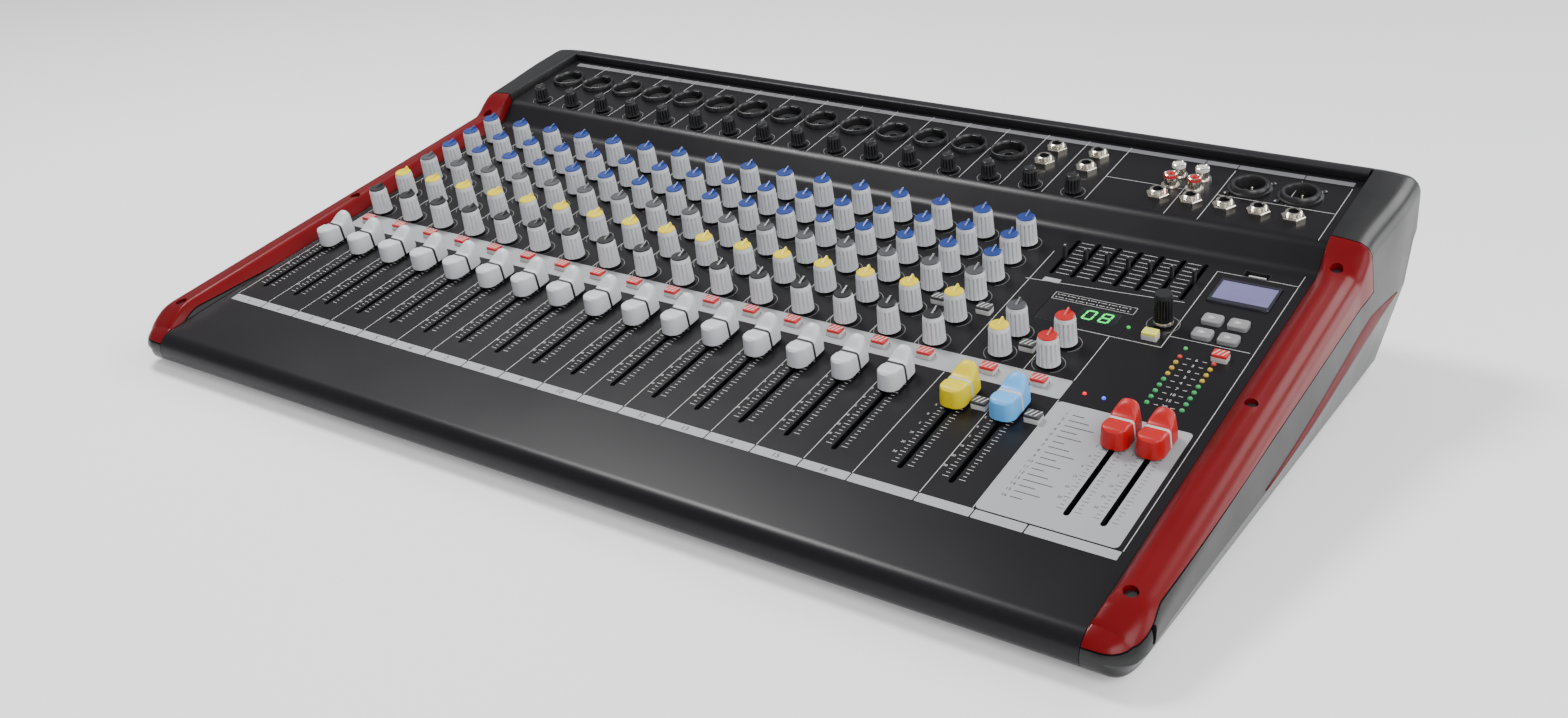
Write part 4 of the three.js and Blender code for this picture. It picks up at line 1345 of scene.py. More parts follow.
def cap_ring(v, half, width, height, proud=0.0):
    """A section across a fader cap: round in plan at both ends, low in front, tall behind."""
    top = height * between(
        [
            (-half, 0.70),
            (-half + 2.2, 0.765),
            (-half + 7.5, 0.75),
            (-1.2, 0.68),
            (1.6, 0.685),
            (half - 4.2, 0.97),
            (half - 2.4, 0.995),
            (half - 0.9, 0.90),
            (half, 0.66),
        ],
        v,
    )
    corner = between([(-half, 1.2), (-2, 1.6), (2.5, 2.0), (half - 4, 0.40 * width), (half, 2.4)], v)
    plan = 5.4
    inset = 0.0
    for gap in (v + half, half - v):
        if gap < plan:
            inset = plan - math.sqrt(plan**2 - (plan - max(gap, 0)) ** 2)
    reach = width / 2 - inset + proud
    top += proud
    upper = reach * (0.91 - 0.08 * ease((v - 2) / (half - 6)))
    corner = min(corner, 0.9 * upper)
    points = [(reach, 1.6), (reach * 0.985, 0.35 * top)]
    for i in range(6):
        angle = math.pi / 2 * i / 5
        points.append(
            (upper - corner + corner * math.cos(angle), top - corner + corner * math.sin(angle))
        )
    ring = points + [(-x, n) for x, n in points[::-1]]
    return [(x, v, n) for x, n in ring]


def cap_shape(length_, width, height):
    half = length_ / 2
    stops = [-half + 5 * (1 - math.cos(math.pi / 2 * i / 8)) for i in range(9)]
    stops += [-half + 5 + (length_ - 10) * i / 14 for i in range(1, 14)]
    stops += [half - 5 * math.cos(math.pi / 2 * i / 8) for i in range(9)]
    return loft([cap_ring(v, half, width, height) for v in stops])


def cap_line_shape(length_, width, height):
    """The thin line over a cap's waist and down its sides."""
    return loft([cap_ring(v, length_ / 2, width, height, 0.07) for v in (-0.9, -0.1, 0.7)])


class CONSOLE_OT_faders(ConsoleOperator, bpy.types.Operator):
    """Makes the fader caps with their levers, each on its own body"""

    bl_idname = "console.faders"
    bl_label = "Faders"

    def execute(self, context):
        L, s, c = layout(), sizes(), colours()
        grey = cap_plastic()
        finishes = {
            "effects_fader": (tinted("yellow cap plastic", c.yellow), "yellow_cap"),
            "player_fader": (tinted("sky blue cap plastic", c.sky), "blue_cap"),
            "main_left_fader": (tinted("red cap plastic", c.red), "red_cap"),
            "main_right_fader": (tinted("red cap plastic", c.red), "red_cap"),
        }
        black, white = black_plastic(), white_ink()
        for name in FADERS:
            material, slot = finishes.get(name, (grey, "grey_knob"))
            width = (s.main_cap_width if name in finishes else s.cap_width) / MM
            height = s.cap_height / MM
            point = [(*L.node(name), 0)]
            cap = cap_shape(s.cap_length / MM, width, height)
            piece = repeat(f"{name}_cap", cap, point, material, L.deck)
            finish_piece(piece, name, [name])
            line = repeat(
                f"{name}_line",
                cap_line_shape(s.cap_length / MM, width, height),
                point,
                white if name in finishes else black,
                L.deck,
            )
            finish_piece(line, name)
            lever = pillow(1.8, 4, -7.8, 2.2, 0.4, 0.2)
            piece = repeat(f"{name}_lever", lever, point, dark_steel(), L.deck)
            finish_piece(piece, name)
        for i in range(BANDS):
            self.slider(L, i)
        return {"FINISHED"}

    def slider(self, L, i):
        name = f"equaliser_slider_{i + 1}"
        point = [(*L.node(name), 0)]
        lever = pillow(1.8, 3.6, -7.8, 7.9, 0.5, 0.5, draft=0.1)
        piece = repeat(f"{name}_lever", lever, point, black_plastic(), L.deck)
        finish_piece(piece, name, [name])
        mark = block(-0.5, 0.5, -0.3, 0.3, 7.7, 7.95)
        piece = repeat(f"{name}_mark", mark, point, white_ink(), L.deck)
        finish_piece(piece, name)


# ---- Buttons and keys -------------------------------------------------------------------------


def stripes(top):
    """Slanting printed stripes on a button's top."""
    shapes = []
    for offset in (-2.0, 0.4, 2.8):
        outline = [
            (offset - 1.6, -2.4),
            (offset - 0.9, -2.4),
            (offset + 1.2, 2.4),
            (offset + 0.5, 2.4),
        ]
        shapes.append(plate(outline, top, top + INK))
    return joined(shapes)


def add_buttons(name, body, places, tint, replaced=(), striped=True):
    L = layout()
    points = [(x, v, 0) for x, v in places]
    base = pillow(8.3, 6.3, -3.9, 2.5, 0.7, 0.3)
    pale = tinted("pale button plastic", (0.50, 0.49, 0.48))
    piece = repeat(f"{name}_bases", base, points, pale, L.deck)
    finish_piece(piece, body, replaced)
    top = pillow(8.1, 6.1, 2.2, 4.1, 0.7, 0.5)
    piece = repeat(f"{name}_tops", top, points, tint, L.deck)
    finish_piece(piece, body)
    if striped:
        piece = repeat(f"{name}_stripes", stripes(4.09), points, white_ink(), L.deck)
        finish_piece(piece, body)


class CONSOLE_OT_buttons(ConsoleOperator, bpy.types.Operator):
    """Makes the cue, routing, phantom power and tap buttons and the player keys"""

    bl_idname = "console.buttons"
    bl_label = "Buttons and keys"

    def execute(self, context):
        L, c = layout(), colours()
        red = tinted("red button plastic", c.button)
        dark = tinted("dark button plastic", (0.05, 0.05, 0.052))
        cues = cue_places(L)
        first = SINGLE_BUTTONS[0]
        add_buttons(first, first, cues[:1], red, [first])
        add_buttons("cue_buttons", "console", cues[1:], red, ["cue_button_row"])
        add_buttons("routing_buttons", "console", routing_places(L), dark)
        add_buttons("stereo_buttons", "console", stereo_places(L), dark)
        name = "phantom_power_button"
        add_buttons(name, name, [L.node(name)], red, [name])
        name = "tap_tempo_button"
        yellow = tinted("pale yellow plastic", (0.75, 0.72, 0.12))
        add_buttons(name, name, [L.node(name)], yellow, [name], False)
        self.keys(L, c)
        return {"FINISHED"}

    def keys(self, L, c):
        key = pillow(10.7, 8.7, -4, 2.3, 2.0, 0.8, steps=4)
        points = [(x, v, 0) for x, v in key_places(L)]
        piece = repeat("player_keys", key, points, tinted("key rubber", c.key, 0.6), L.deck)
        finish_piece(piece, "console", ["player_keypad"])
        mark = joined(
            [
                block(-2.2, -1.7, -1.4, 1.4, 2.29, 2.34),
                plate([(-1.2, -1.4), (1.6, 0), (-1.2, 1.4)], 2.29, 2.34),
            ]
        )
        piece = repeat("player_key_marks", mark, points, white_ink(), L.deck)
        finish_piece(piece, "console")


# ---- Lamps, displays and the board ------------------------------------------------------------

SEGMENTS = {"0": "abcdef", "8": "abcdefg"}


def digit(symbol, x, v, n, width=6.2, height=9.4, stroke=1.15):
    """A seven-segment figure."""
    w, h = width / 2, height / 2
    bars = {
        "a": (-w + 0.8, w - 0.8, h - stroke, h),
        "d": (-w + 0.8, w - 0.8, -h, -h + stroke),
        "g": (-w + 0.8, w - 0.8, -stroke / 2, stroke / 2),
        "b": (w - stroke, w, 0.4, h - 0.8),
        "c": (w - stroke, w, -h + 0.8, -0.4),
        "f": (-w, -w + stroke, 0.4, h - 0.8),
        "e": (-w, -w + stroke, -h + 0.8, -0.4),
    }
    shapes = []
    for name in SEGMENTS[symbol]:
        x0, x1, v0, v1 = bars[name]
        slant = 0.1
        corners = [(x0, v0), (x1, v0), (x1, v1), (x0, v1)]
        shapes.append(plate([(x + a + b * slant, v + b) for a, b in corners], n, n + 0.1))
    return shapes


class CONSOLE_OT_lamps(ConsoleOperator, bpy.types.Operator):
    """Makes the level lamps, the two displays, the memory port and the main board"""

    bl_idname = "console.lamps"
    bl_label = "Lamps and displays"

    def execute(self, context):
        L = layout()
        self.meters(L)
        self.effects_display(L)
        self.player_screen(L)
        self.port(L)
        self.board(L)
        return {"FINISHED"}

    def meters(self, L):
        rungs = [(x, L.meter_front + 5.445 * i) for x in (L.main_left, L.main_right) for i in range(9)]
        lamp = turned([(1.35, -1), (1.35, 0.2), (1.1, 0.8), (0.6, 1.15), (0.15, 1.25)], 14)
        groups = (
            ("green_lamps", lambda i: i < 5, (0.03, 0.30, 0.09), 0.18),
            ("yellow_lamps", lambda i: 5 <= i < 8, (0.45, 0.30, 0.03), 0.15),
            ("red_lamps", lambda i: i == 8, (0.45, 0.03, 0.02), 0.15),
        )
        for name, wanted, tint, glow in groups:
            points = [(x, v, 0) for i, (x, v) in enumerate(rungs) if wanted(i % 9)]
            piece = repeat(name, lamp.copy(), points, lamp_lens(name, tint, glow), L.deck)
            finish_piece(piece, "console")
        lamp.free()
        dots = (
            ("cue_lamp", L.master + 72.9, L.cue_row + 0.3, (0.7, 0.03, 0.03), 0.8),
            ("power_lamp", L.master + 83, L.cue_row + 0.3, (0.05, 0.10, 0.9), 1.2),
            ("tap_lamp", L.main_left, L.aux_row - 6, (0.05, 0.5, 0.08), 0.3),
            ("player_lamp", L.master + 69.3, L.aux_row + 1.7, (0.05, 0.5, 0.08), 0.4),
        )
        for name, x, v, tint, glow in dots:
            dome = turned([(1.1, -1), (1.1, 0.3), (0.8, 0.8), (0.3, 1.0)], 16, (x, v))
            piece = add_shape(name, dome, lamp_lens(name, tint, glow), L.deck)
            finish_piece(piece, "console")

    def effects_display(self, L):
        x, v = display_place(L)
        plate_ = pillow(DISPLAY[0] - 0.5, DISPLAY[1] - 0.5, -6, 0.05, 1, 0.2, (x, v))
        piece = add_shape("effects_display_plate", plate_, deck_coat(), L.deck)
        finish_piece(piece, "console", ["effects_display"])
        centre = L.master + 50.6
        glass = moulded("dark display glass", (0.006, 0.010, 0.009), 0.14, spread=0.3, bump=0.0)
        window = pillow(22, 13, -1, 0.2, 0.8, 0.1, (centre, 176.8))
        piece = add_shape("effects_display_window", window, glass, L.deck)
        finish_piece(piece, "console")
        figures = digit("0", centre - 4.6, 176.8, 0.2) + digit("8", centre + 4.6, 176.8, 0.2)
        glow = lamp_lens("green figures", (0.03, 0.75, 0.12), 0.9)
        piece = add_shape("effects_display_figures", joined(figures), glow, L.deck)
        finish_piece(piece, "console")
        left, right, low, high = x - 23.4, x + 23.4, v + 7.2, v + 14
        corners = [(left, low), (right, low), (right, high), (left, high), (left, low)]
        marks = ink_path(corners, 0.25, 0.05)
        for i in range(8):
            for j in range(2):
                place = (left + 2 + 5.9 * i, high - 2 - 2.9 * j)
                marks.append(disc(0.45, 0.05, 0.1, 8, place))
                if i < 7:
                    marks.append(ink_line(place[0] + 1.2, place[1], place[0] + 4.4, place[1], 0.35, 0.05))
        piece = add_shape("effects_display_marks", joined(marks), white_ink(), L.deck)
        finish_piece(piece, "console")

    def player_screen(self, L):
        x, v = screen_place(L)
        w, h = SCREEN
        outer = rounded_outline(w - 0.6, h - 0.6, 1.0, 3, (x, v))
        inner = rounded_outline(w - 3.6, h - 5.6, 0.5, 3, (x, v + 0.8))
        bezel = loft(
            [
                [(a, b, -6) for a, b in outer],
                [(a, b, 0.7) for a, b in outer],
                [(a * 0.985 + x * 0.015, b * 0.985 + v * 0.015, 1.0) for a, b in outer],
                [(a, b, 0.95) for a, b in inner],
                [(a, b, 0.55) for a, b in inner],
            ]
        )
        piece = add_shape("player_screen_bezel", bezel, tinted("screen bezel", (0.02, 0.02, 0.03),
            0.15), L.deck)
        finish_piece(piece, "console", ["player_screen"])
        liquid = moulded("pale liquid crystal", (0.15, 0.14, 0.27), 0.2, spread=0.15, patch=60, bump=0.0)
        shader = liquid.node_tree.nodes["Principled BSDF"]
        shader.inputs["Emission Color"].default_value = (0.15, 0.14, 0.30, 1)
        shader.inputs["Emission Strength"].default_value = 0.25
        pane = pillow(w - 3.4, h - 5.4, 0.5, 0.62, 0.4, 0.05, (x, v + 0.8))
        piece = add_shape("player_screen_pane", pane, liquid, L.deck)
        finish_piece(piece, "console")

    def port(self, L):
        x, v = usb_place(L)
        shell = loft(
            [
                [(a, b, n) for a, b in rounded_outline(w, h, 0.5, 2, (x, v))]
                for w, h, n in ((14.8, 6.8, -11), (14.8, 6.8, 0.15), (13.4, 5.4, 0.15), (13.2, 5.2, -11))
            ]
        )
        piece = add_shape("memory_port_shell", shell, black_plastic(), L.deck)
        finish_piece(piece, "console")
        tongue = pillow(9.6, 1.3, -11, -1.2, 0.2, 0.2, (x, v + 0.5))
        piece = add_shape("memory_port_tongue", tongue, tinted("port tongue", (0.5, 0.5, 0.5)), L.deck)
        finish_piece(piece, "console")

    def board(self, L):
        """The main board and its parts, seen only through slots and from inside."""
        sheet_low, sheet_high = -16, -14.4
        x0, x1, v0, v1 = L.left + 2, L.right - 2, 6, L.riser_foot - 4
        board = plate(
            rounded_outline(x1 - x0, v1 - v0, 2, 2, ((x0 + x1) / 2, (v0 + v1) / 2)), sheet_low, sheet_high
        )
        piece = add_shape("main_board", board, circuit_board(), L.deck)
        finish_piece(piece, "console", ["main_circuit_board"])
        track = pillow(9, 76, -14.4, -8.6, 1, 0.4)
        points = [(x, (L.slot_front + L.slot_back) / 2, 0) for x in fader_columns(L)]
        piece = repeat("fader_tracks", track, points, dark_steel(), L.deck)
        finish_piece(piece, "console")
        track = pillow(9, 46, -14.4, -8.6, 1, 0.4)
        points = [(x, L.band_row, 0) for x in L.bands]
        piece = repeat("slider_tracks", track, points, dark_steel(), L.deck)
        finish_piece(piece, "console")


# ---- Sockets ----------------------------------------------------------------------------------


class CONSOLE_OT_sockets(ConsoleOperator, bpy.types.Operator):
    """Makes the microphone, jack, phono and output sockets"""

    bl_idname = "console.sockets"
    bl_label = "Sockets"

    def execute(self, context):
        L = layout()
        self.combos(L)
        self.jacks(L)
        self.phonos(L)
        self.outputs(L)
        return {"FINISHED"}

    def combos(self, L):
        points = [(x, v, L.rise) for x, v in combo_places(L)]
        rim = washer(
            [
                (9.5, -12),
                (9.5, 1.0),
                (9.9, 2.6),
                (10.5, 3.3),
                (11.2, 3.1),
                (11.8, 1.6),
                (11.9, 0.02),
                (10.4, 0.02),
                (10.4, -12),
            ],
            36,
        )
        plug = washer(
            [(3.2, -12), (3.2, -1.9), (3.8, -1.4), (7.4, -1.4), (7.9, -1.9), (7.9, -12)], 32
        )
        floor = turned([(9.9, -12.4), (9.9, -11.6)], 32)
        latch = moved(pillow(6, 3.4, 0.3, 3.3, 0.8, 0.5), 0, 10.1)
        rims = repeat("microphone_socket_rims", joined([rim, floor]), points, black_plastic(), L.deck)
        finish_piece(rims, "console", ["microphone_sockets"])
        cores = repeat(
            "microphone_socket_cores",
            joined([plug, latch]),
            points,
            tinted("dark socket core", (0.012, 0.012, 0.013), 0.35),
            L.deck,
        )
        finish_piece(cores, "console")
        contact = joined(
            [
                disc(0.8, -1.5, -1.3, 10, (5.5 * math.cos(a), 5.5 * math.sin(a)))
                for a in (math.radians(90), math.radians(210), math.radians(330))
            ]
        )
        piece = repeat("microphone_socket_contacts", contact, points, dark_steel(), L.deck)
        finish_piece(piece, "console")

    def jacks(self, L):
        places = stereo_jacks(L) + output_jacks(L)
        points = [(x, v, L.rise) for x, v in places]
        nut = loft(
            [
                [(r * math.cos(math.pi / 3 * i), r * math.sin(math.pi / 3 * i), n) for i in range(6)]
                for r, n in ((6.9, 0.05), (6.9, 2.0), (6.4, 2.5))
            ]
        )
        thread = [(3.1, 5.0), (3.9, 5.1), (4.5, 4.8)]
        for i in range(4):
            thread += [(4.2, 4.5 - 0.55 * i), (4.55, 4.25 - 0.55 * i)]
        thread += [(4.5, 1.5), (3.1, 1.5)]
        collar = washer(thread[::-1], 24)
        piece = repeat("jack_nuts", joined([nut, collar]), points, nickel(), L.deck, smooth=25)
        finish_piece(piece, "console", ["output_sockets"])
        liner = washer([(2.9, -12), (2.9, 4.6), (3.2, 4.8), (3.2, -12)], 20)
        plug = turned([(3.1, 2.55), (3.1, 2.7)], 20)
        piece = repeat("jack_liners", joined([liner, plug]), points, black_plastic(), L.deck)
        finish_piece(piece, "console")

    def phonos(self, L):
        for name, row, tint in (
            ("red_phonos", -8.4, (0.45, 0.02, 0.02)),
            ("white_phonos", 5, (0.70, 0.68, 0.66)),
        ):
            points = [(x, v, L.rise) for x, v in phono_places(L, row)]
            barrel = washer(
                [(2.9, 2), (2.9, 8.3), (3.3, 8.6), (3.8, 8.3), (3.8, 1.4), (5.3, 1.2), (5.4, 0.05),
                    (2.9, 0.05)],
                28,
            )
            piece = repeat(name + "_barrels", barrel, points, nickel(), L.deck)
            finish_piece(piece, "console")
            core = washer([(0.9, 1), (0.9, 7.9), (2.9, 7.9), (2.9, 1)], 24)
            ring = washer([(3.85, 6.2), (3.85, 8.1), (4.0, 8.1), (4.0, 6.2)], 24)
            piece = repeat(name + "_cores", joined([core, ring]), points, tinted(name, tint), L.deck)
            finish_piece(piece, "console")

    def outputs(self, L):
        points = [(x, v, L.rise) for x, v in xlr_places(L)]
        flange = washer(
            [
                (8.4, -12),
                (8.4, 3.2),
                (8.9, 4.0),
                (10.2, 4.2),
                (11.0, 3.4),
                (11.4, 1.6),
                (12.6, 1.3),
                (12.8, 0.05),
                (10.4, 0.05),
                (10.4, -12),
            ],
            40,
        )
        floor = turned([(8.8, -12.3), (8.8, -9.5)], 32)
        key = moved(pillow(2.4, 1.6, -9, 3.6, 0.3, 0.3), 0, -7.9)
        piece = repeat("output_rims", joined([flange, floor, key]), points, black_plastic(), L.deck)
        finish_piece(piece, "console")
        pins = joined(
            [
                turned([(1.1, -10), (1.1, -1.2), (0.6, -0.5)], 14, (4 * math.cos(a), 4 * math.sin(a)))
                for a in (math.pi / 2, math.radians(210), math.radians(330))
            ]
        )
        piece = repeat("output_pins", pins, points, nickel(), L.deck)
        finish_piece(piece, "console")
        screws = [(x + s * 10.4, v + s * 9.4, L.rise) for x, v, _ in points for s in (-1, 1)]
        head = turned([(1.9, 0.03), (1.8, 0.8), (1.1, 1.3), (0.3, 1.35)], 18)
        piece = repeat("output_screws", head, screws, dark_steel(), L.deck)
        finish_piece(piece, "console")


# ---- Ends: red cheeks and black shells --------------------------------------------------------


def ease(t):
    t = min(max(t, 0.0), 1.0)
    return t * t * (3 - 2 * t)


class EndShape:
    """The whole end as sections across the row frame, one for each place from front to back."""

    def __init__(self, L, s):
        self.L = L
        self.inner = L.half + 0.3
        self.outer = self.inner + s.cheek_width / MM
        self.crease = self.outer + s.crease_bulge / MM
        self.bottom = self.outer - s.side_undercut / MM
        self.edge = s.cheek_edge / MM
        self.corner = s.corner_radius / MM
        self.rise = s.cheek_rise / MM
        frame_y, frame_z = L.stand(L.frame_back, L.frame_top)
        self.rear = frame_y + 16.9
        self.shoulder = frame_z - 19.7
        corner = (frame_y - 4 * math.cos(L.tilt), frame_z - 4 * math.sin(L.tilt))
        self.shoulder_curve = self.curve(corner, (self.rear - 1, frame_z - 2), (self.rear, self.shoulder))
        foot = self.rear - 30.3
        self.wall = [
            (foot, L.base),
            (self.rear - 23.5, L.base + 50),
            (self.rear - 6, L.base + 70),
            (self.rear, self.shoulder),
        ]

    @staticmethod
    def curve(a, b, c, steps=14):
        points = []
        for i in range(steps + 1):
            t = i / steps
            points.append(
                tuple((1 - t) ** 2 * p + 2 * t * (1 - t) * q + t * t * r for p, q, r in zip(a, b, c))
            )
        return points

    @staticmethod
    def along(points, y):
        """Height at y on a run of points ordered by y."""
        for (y0, z0), (y1, z1) in zip(points, points[1:]):
            if y <= y1:
                return z0 + (z1 - z0) * max(y - y0, 0) / max(y1 - y0, 1e-6)
        return points[-1][1]

    def top(self, y):
        """The roof line: round nose, red hump along the deck, riser, frame and shoulder."""
        L = self.L
        if y >= self.shoulder_curve[0][0]:
            return self.along(self.shoulder_curve, y)
        nose_y, nose_z = L.stand(-L.apron, -L.nose)
        v = (y - L.origin_y) / math.cos(L.tilt)
        # Solve for the deck place whose foot is at this y, for a height n above the deck.
        n = self.rise * ease((v + L.apron + 6) / 24)
        v = (y - L.origin_y + n * math.sin(L.tilt)) / math.cos(L.tilt)
        start, end = L.riser_foot - 5, L.connector_front
        if v > start:
            n = self.rise + (L.frame_top - self.rise) * ease((v - start) / (end - start))
            v = (y - L.origin_y + n * math.sin(L.tilt)) / math.cos(L.tilt)
        height = L.stand(v, n)[1]
        swing = nose_y + L.nose * math.sin(L.tilt)
        if y < nose_y:
            across = min(max((nose_y - y) / L.nose, 0), 1)
            ball = nose_z + L.nose * math.sqrt(1 - across**2)
            lift = self.rise * ease((nose_y - y + 18) / -24 + 1)
            return ball + lift * math.sqrt(1 - across**2)
        if y < swing:
            return max(height, nose_z + math.sqrt(max(L.nose**2 - (nose_y - y) ** 2, 0)))
        return height

    def floor(self, y):
        L = self.L
        nose_y, nose_z = L.stand(-L.apron, -L.nose)
        if y < nose_y:
            across = min(max((nose_y - y) / L.nose, 0), 1)
            return nose_z - L.nose * math.sqrt(1 - across**2)
        return self.along([(nose_y, L.base), *self.wall], y)

    def plan(self, y):
        """How far the side reaches at y, as a share of the full width."""
        inset = 0
        for gap in (y - self.L.front, self.rear - y):
            if gap < self.corner:
                gap = max(gap, 0)
                inset = self.corner - math.sqrt(self.corner**2 - (self.corner - gap) ** 2)
        return (self.crease - inset - self.inner) / (self.crease - self.inner)

    def deck_level(self, y):
        """Height of the panel beside the cheek."""
        L = self.L
        nose_y, nose_z = L.stand(-L.apron, -L.nose)
        if y < nose_y:
            return nose_z + L.nose * math.sqrt(1 - min((nose_y - y) / L.nose, 1) ** 2)
        v = (y - L.origin_y) / math.cos(L.tilt)
        slope = (v - L.riser_foot) / (L.connector_front - L.riser_foot)
        n = L.rise * min(max(slope, 0), 1)
        v += n * math.tan(L.tilt)
        return L.stand(v, n)[1]

    def marks(self, y):
        """The section's main places: top edge, crease and bottom, with the bottom's radius."""
        q = self.plan(y)
        top, low = self.top(y), self.floor(y)
        tall = max(top - low, 0.05)
        flare = 0.8 * (self.crease - self.outer) * ease((y - self.L.front - 318) / 60)
        side = self.inner + q * (self.outer + flare - self.inner)
        foot = min(3.0, 0.4 * tall, 0.3 * (side - self.inner))
        share = ease((y - self.L.front - 20) / 210)
        deck_line = self.L.origin_z + self.rise + (y - self.L.origin_y) * math.tan(self.L.tilt)
        reach = max(min(tall, deck_line - low), 0.1 * tall)
        crease = (
            side + q * (self.crease - self.outer - flare) * share,
            low + reach * (0.44 + 0.08 * ease((y - self.L.front - 150) / 220)),
        )
        bottom = (self.inner + q * (self.bottom - self.inner), low + foot)
        return side, top, low, tall, crease, bottom, foot

    def ring(self, y):
        L = self.L
        side, top, low, tall, crease, bottom, foot = self.marks(y)
        wide = side - self.inner
        edge = min(self.edge, 0.49 * tall, 0.62 * wide)
        v = (y - L.origin_y) / math.cos(L.tilt)
        slope = 0.06 + 0.62 * ease((y - L.front - 2) / 34) + 0.32 * ease((y - L.front - 30) / 200)
        slope *= 1 - 0.86 * ease((v - L.riser_foot + 20) / 26)
        crest = min(9.5 * slope, 0.34 * wide)
        shoulder = min(max(self.deck_level(y) + 0.3, low + 0.3 * tall), top - 0.2)
        points = [(self.inner, low), (self.inner, (low + shoulder) / 2), (self.inner, shoulder)]
        for t in (0.25, 0.5, 0.75, 0.9, 1.0):
            rise = 1 - (1 - t) ** 1.6
            points.append((self.inner + crest * t, shoulder + (top - shoulder) * rise))
        fall = min(1.0, 0.05 * tall)
        flat = side - edge - self.inner - crest
        for t in (0.3, 0.65):
            points.append((self.inner + crest + flat * t, top - fall * t * t))
        for i in range(10):
            angle = math.pi / 2 * (1 - i / 9)
            points.append(
                (side - edge + edge * math.cos(angle), top - fall - edge + edge * math.sin(angle))
            )
        start = top - fall - edge
        for t in (0.33, 0.66, 0.97, 1.0):
            points.append((side + (crease[0] - side) * t, start + (crease[1] - start) * t))
        for t in (0.03, 0.33, 0.66, 1.0):
            points.append(tuple(c + (b - c) * t for c, b in zip(crease, bottom)))
        for i in (1, 2, 3, 4):
            angle = math.pi / 2 * i / 4
            points.append(
                (bottom[0] - foot + foot * math.cos(angle), bottom[1] - foot * math.sin(angle))
            )
        return [(x, y, z) for x, z in points]

    def places(self):
        """Stations from front to back, close together where the shape turns."""
        L = self.L
        front, rear = L.front, self.rear
        stops = [front + 0.06]
        stops += [front + 22 * (1 - math.cos(math.pi / 2 * i / 20)) for i in range(1, 21)]
        stops += [front + 22 + 4 * i for i in range(1, 8)]
        riser = L.stand(L.riser_foot - 5, self.rise)[0]
        crest = L.stand(L.connector_front, L.frame_top)[0]
        run = stops[-1]
        stops += [run + (riser - run) * i / 18 for i in range(1, 19)]
        stops += [riser + (crest - riser) * i / 10 for i in range(1, 11)]
        foot = self.wall[0][0]
        stops += [crest + (foot - crest) * i / 6 for i in range(1, 7)]
        stops += [foot + (rear - foot) * math.sin(math.pi / 2 * i / 26) for i in range(1, 26)]
        stops += [rear - 0.02]
        return stops


def parting_prism(L, end, gap):
    """The space above the parting line and in front of the connector deck."""
    start = -L.apron - 5
    outline = [(-L.apron - 60, -4.5 + gap)]
    outline += [(start + 29 * i / 10, -4.5 + 7.5 * ease(i / 10) + gap) for i in range(11)]
    outline += [
        (L.connector_front - gap, -12.4 + gap),
        (L.connector_front - gap, 60),
        (-L.apron - 60, 60),
    ]
    prism = along_x(outline, end.inner - 4, end.crease + 8)
    bmesh.ops.transform(prism, matrix=L.deck, verts=prism.verts)
    return prism


def flipped(mesh):
    """The mirror image in the middle plane of the console."""
    other = mesh.copy()
    other.transform(Matrix.Scale(-1, 4, (1, 0, 0)))
    other.flip_normals()
    return other


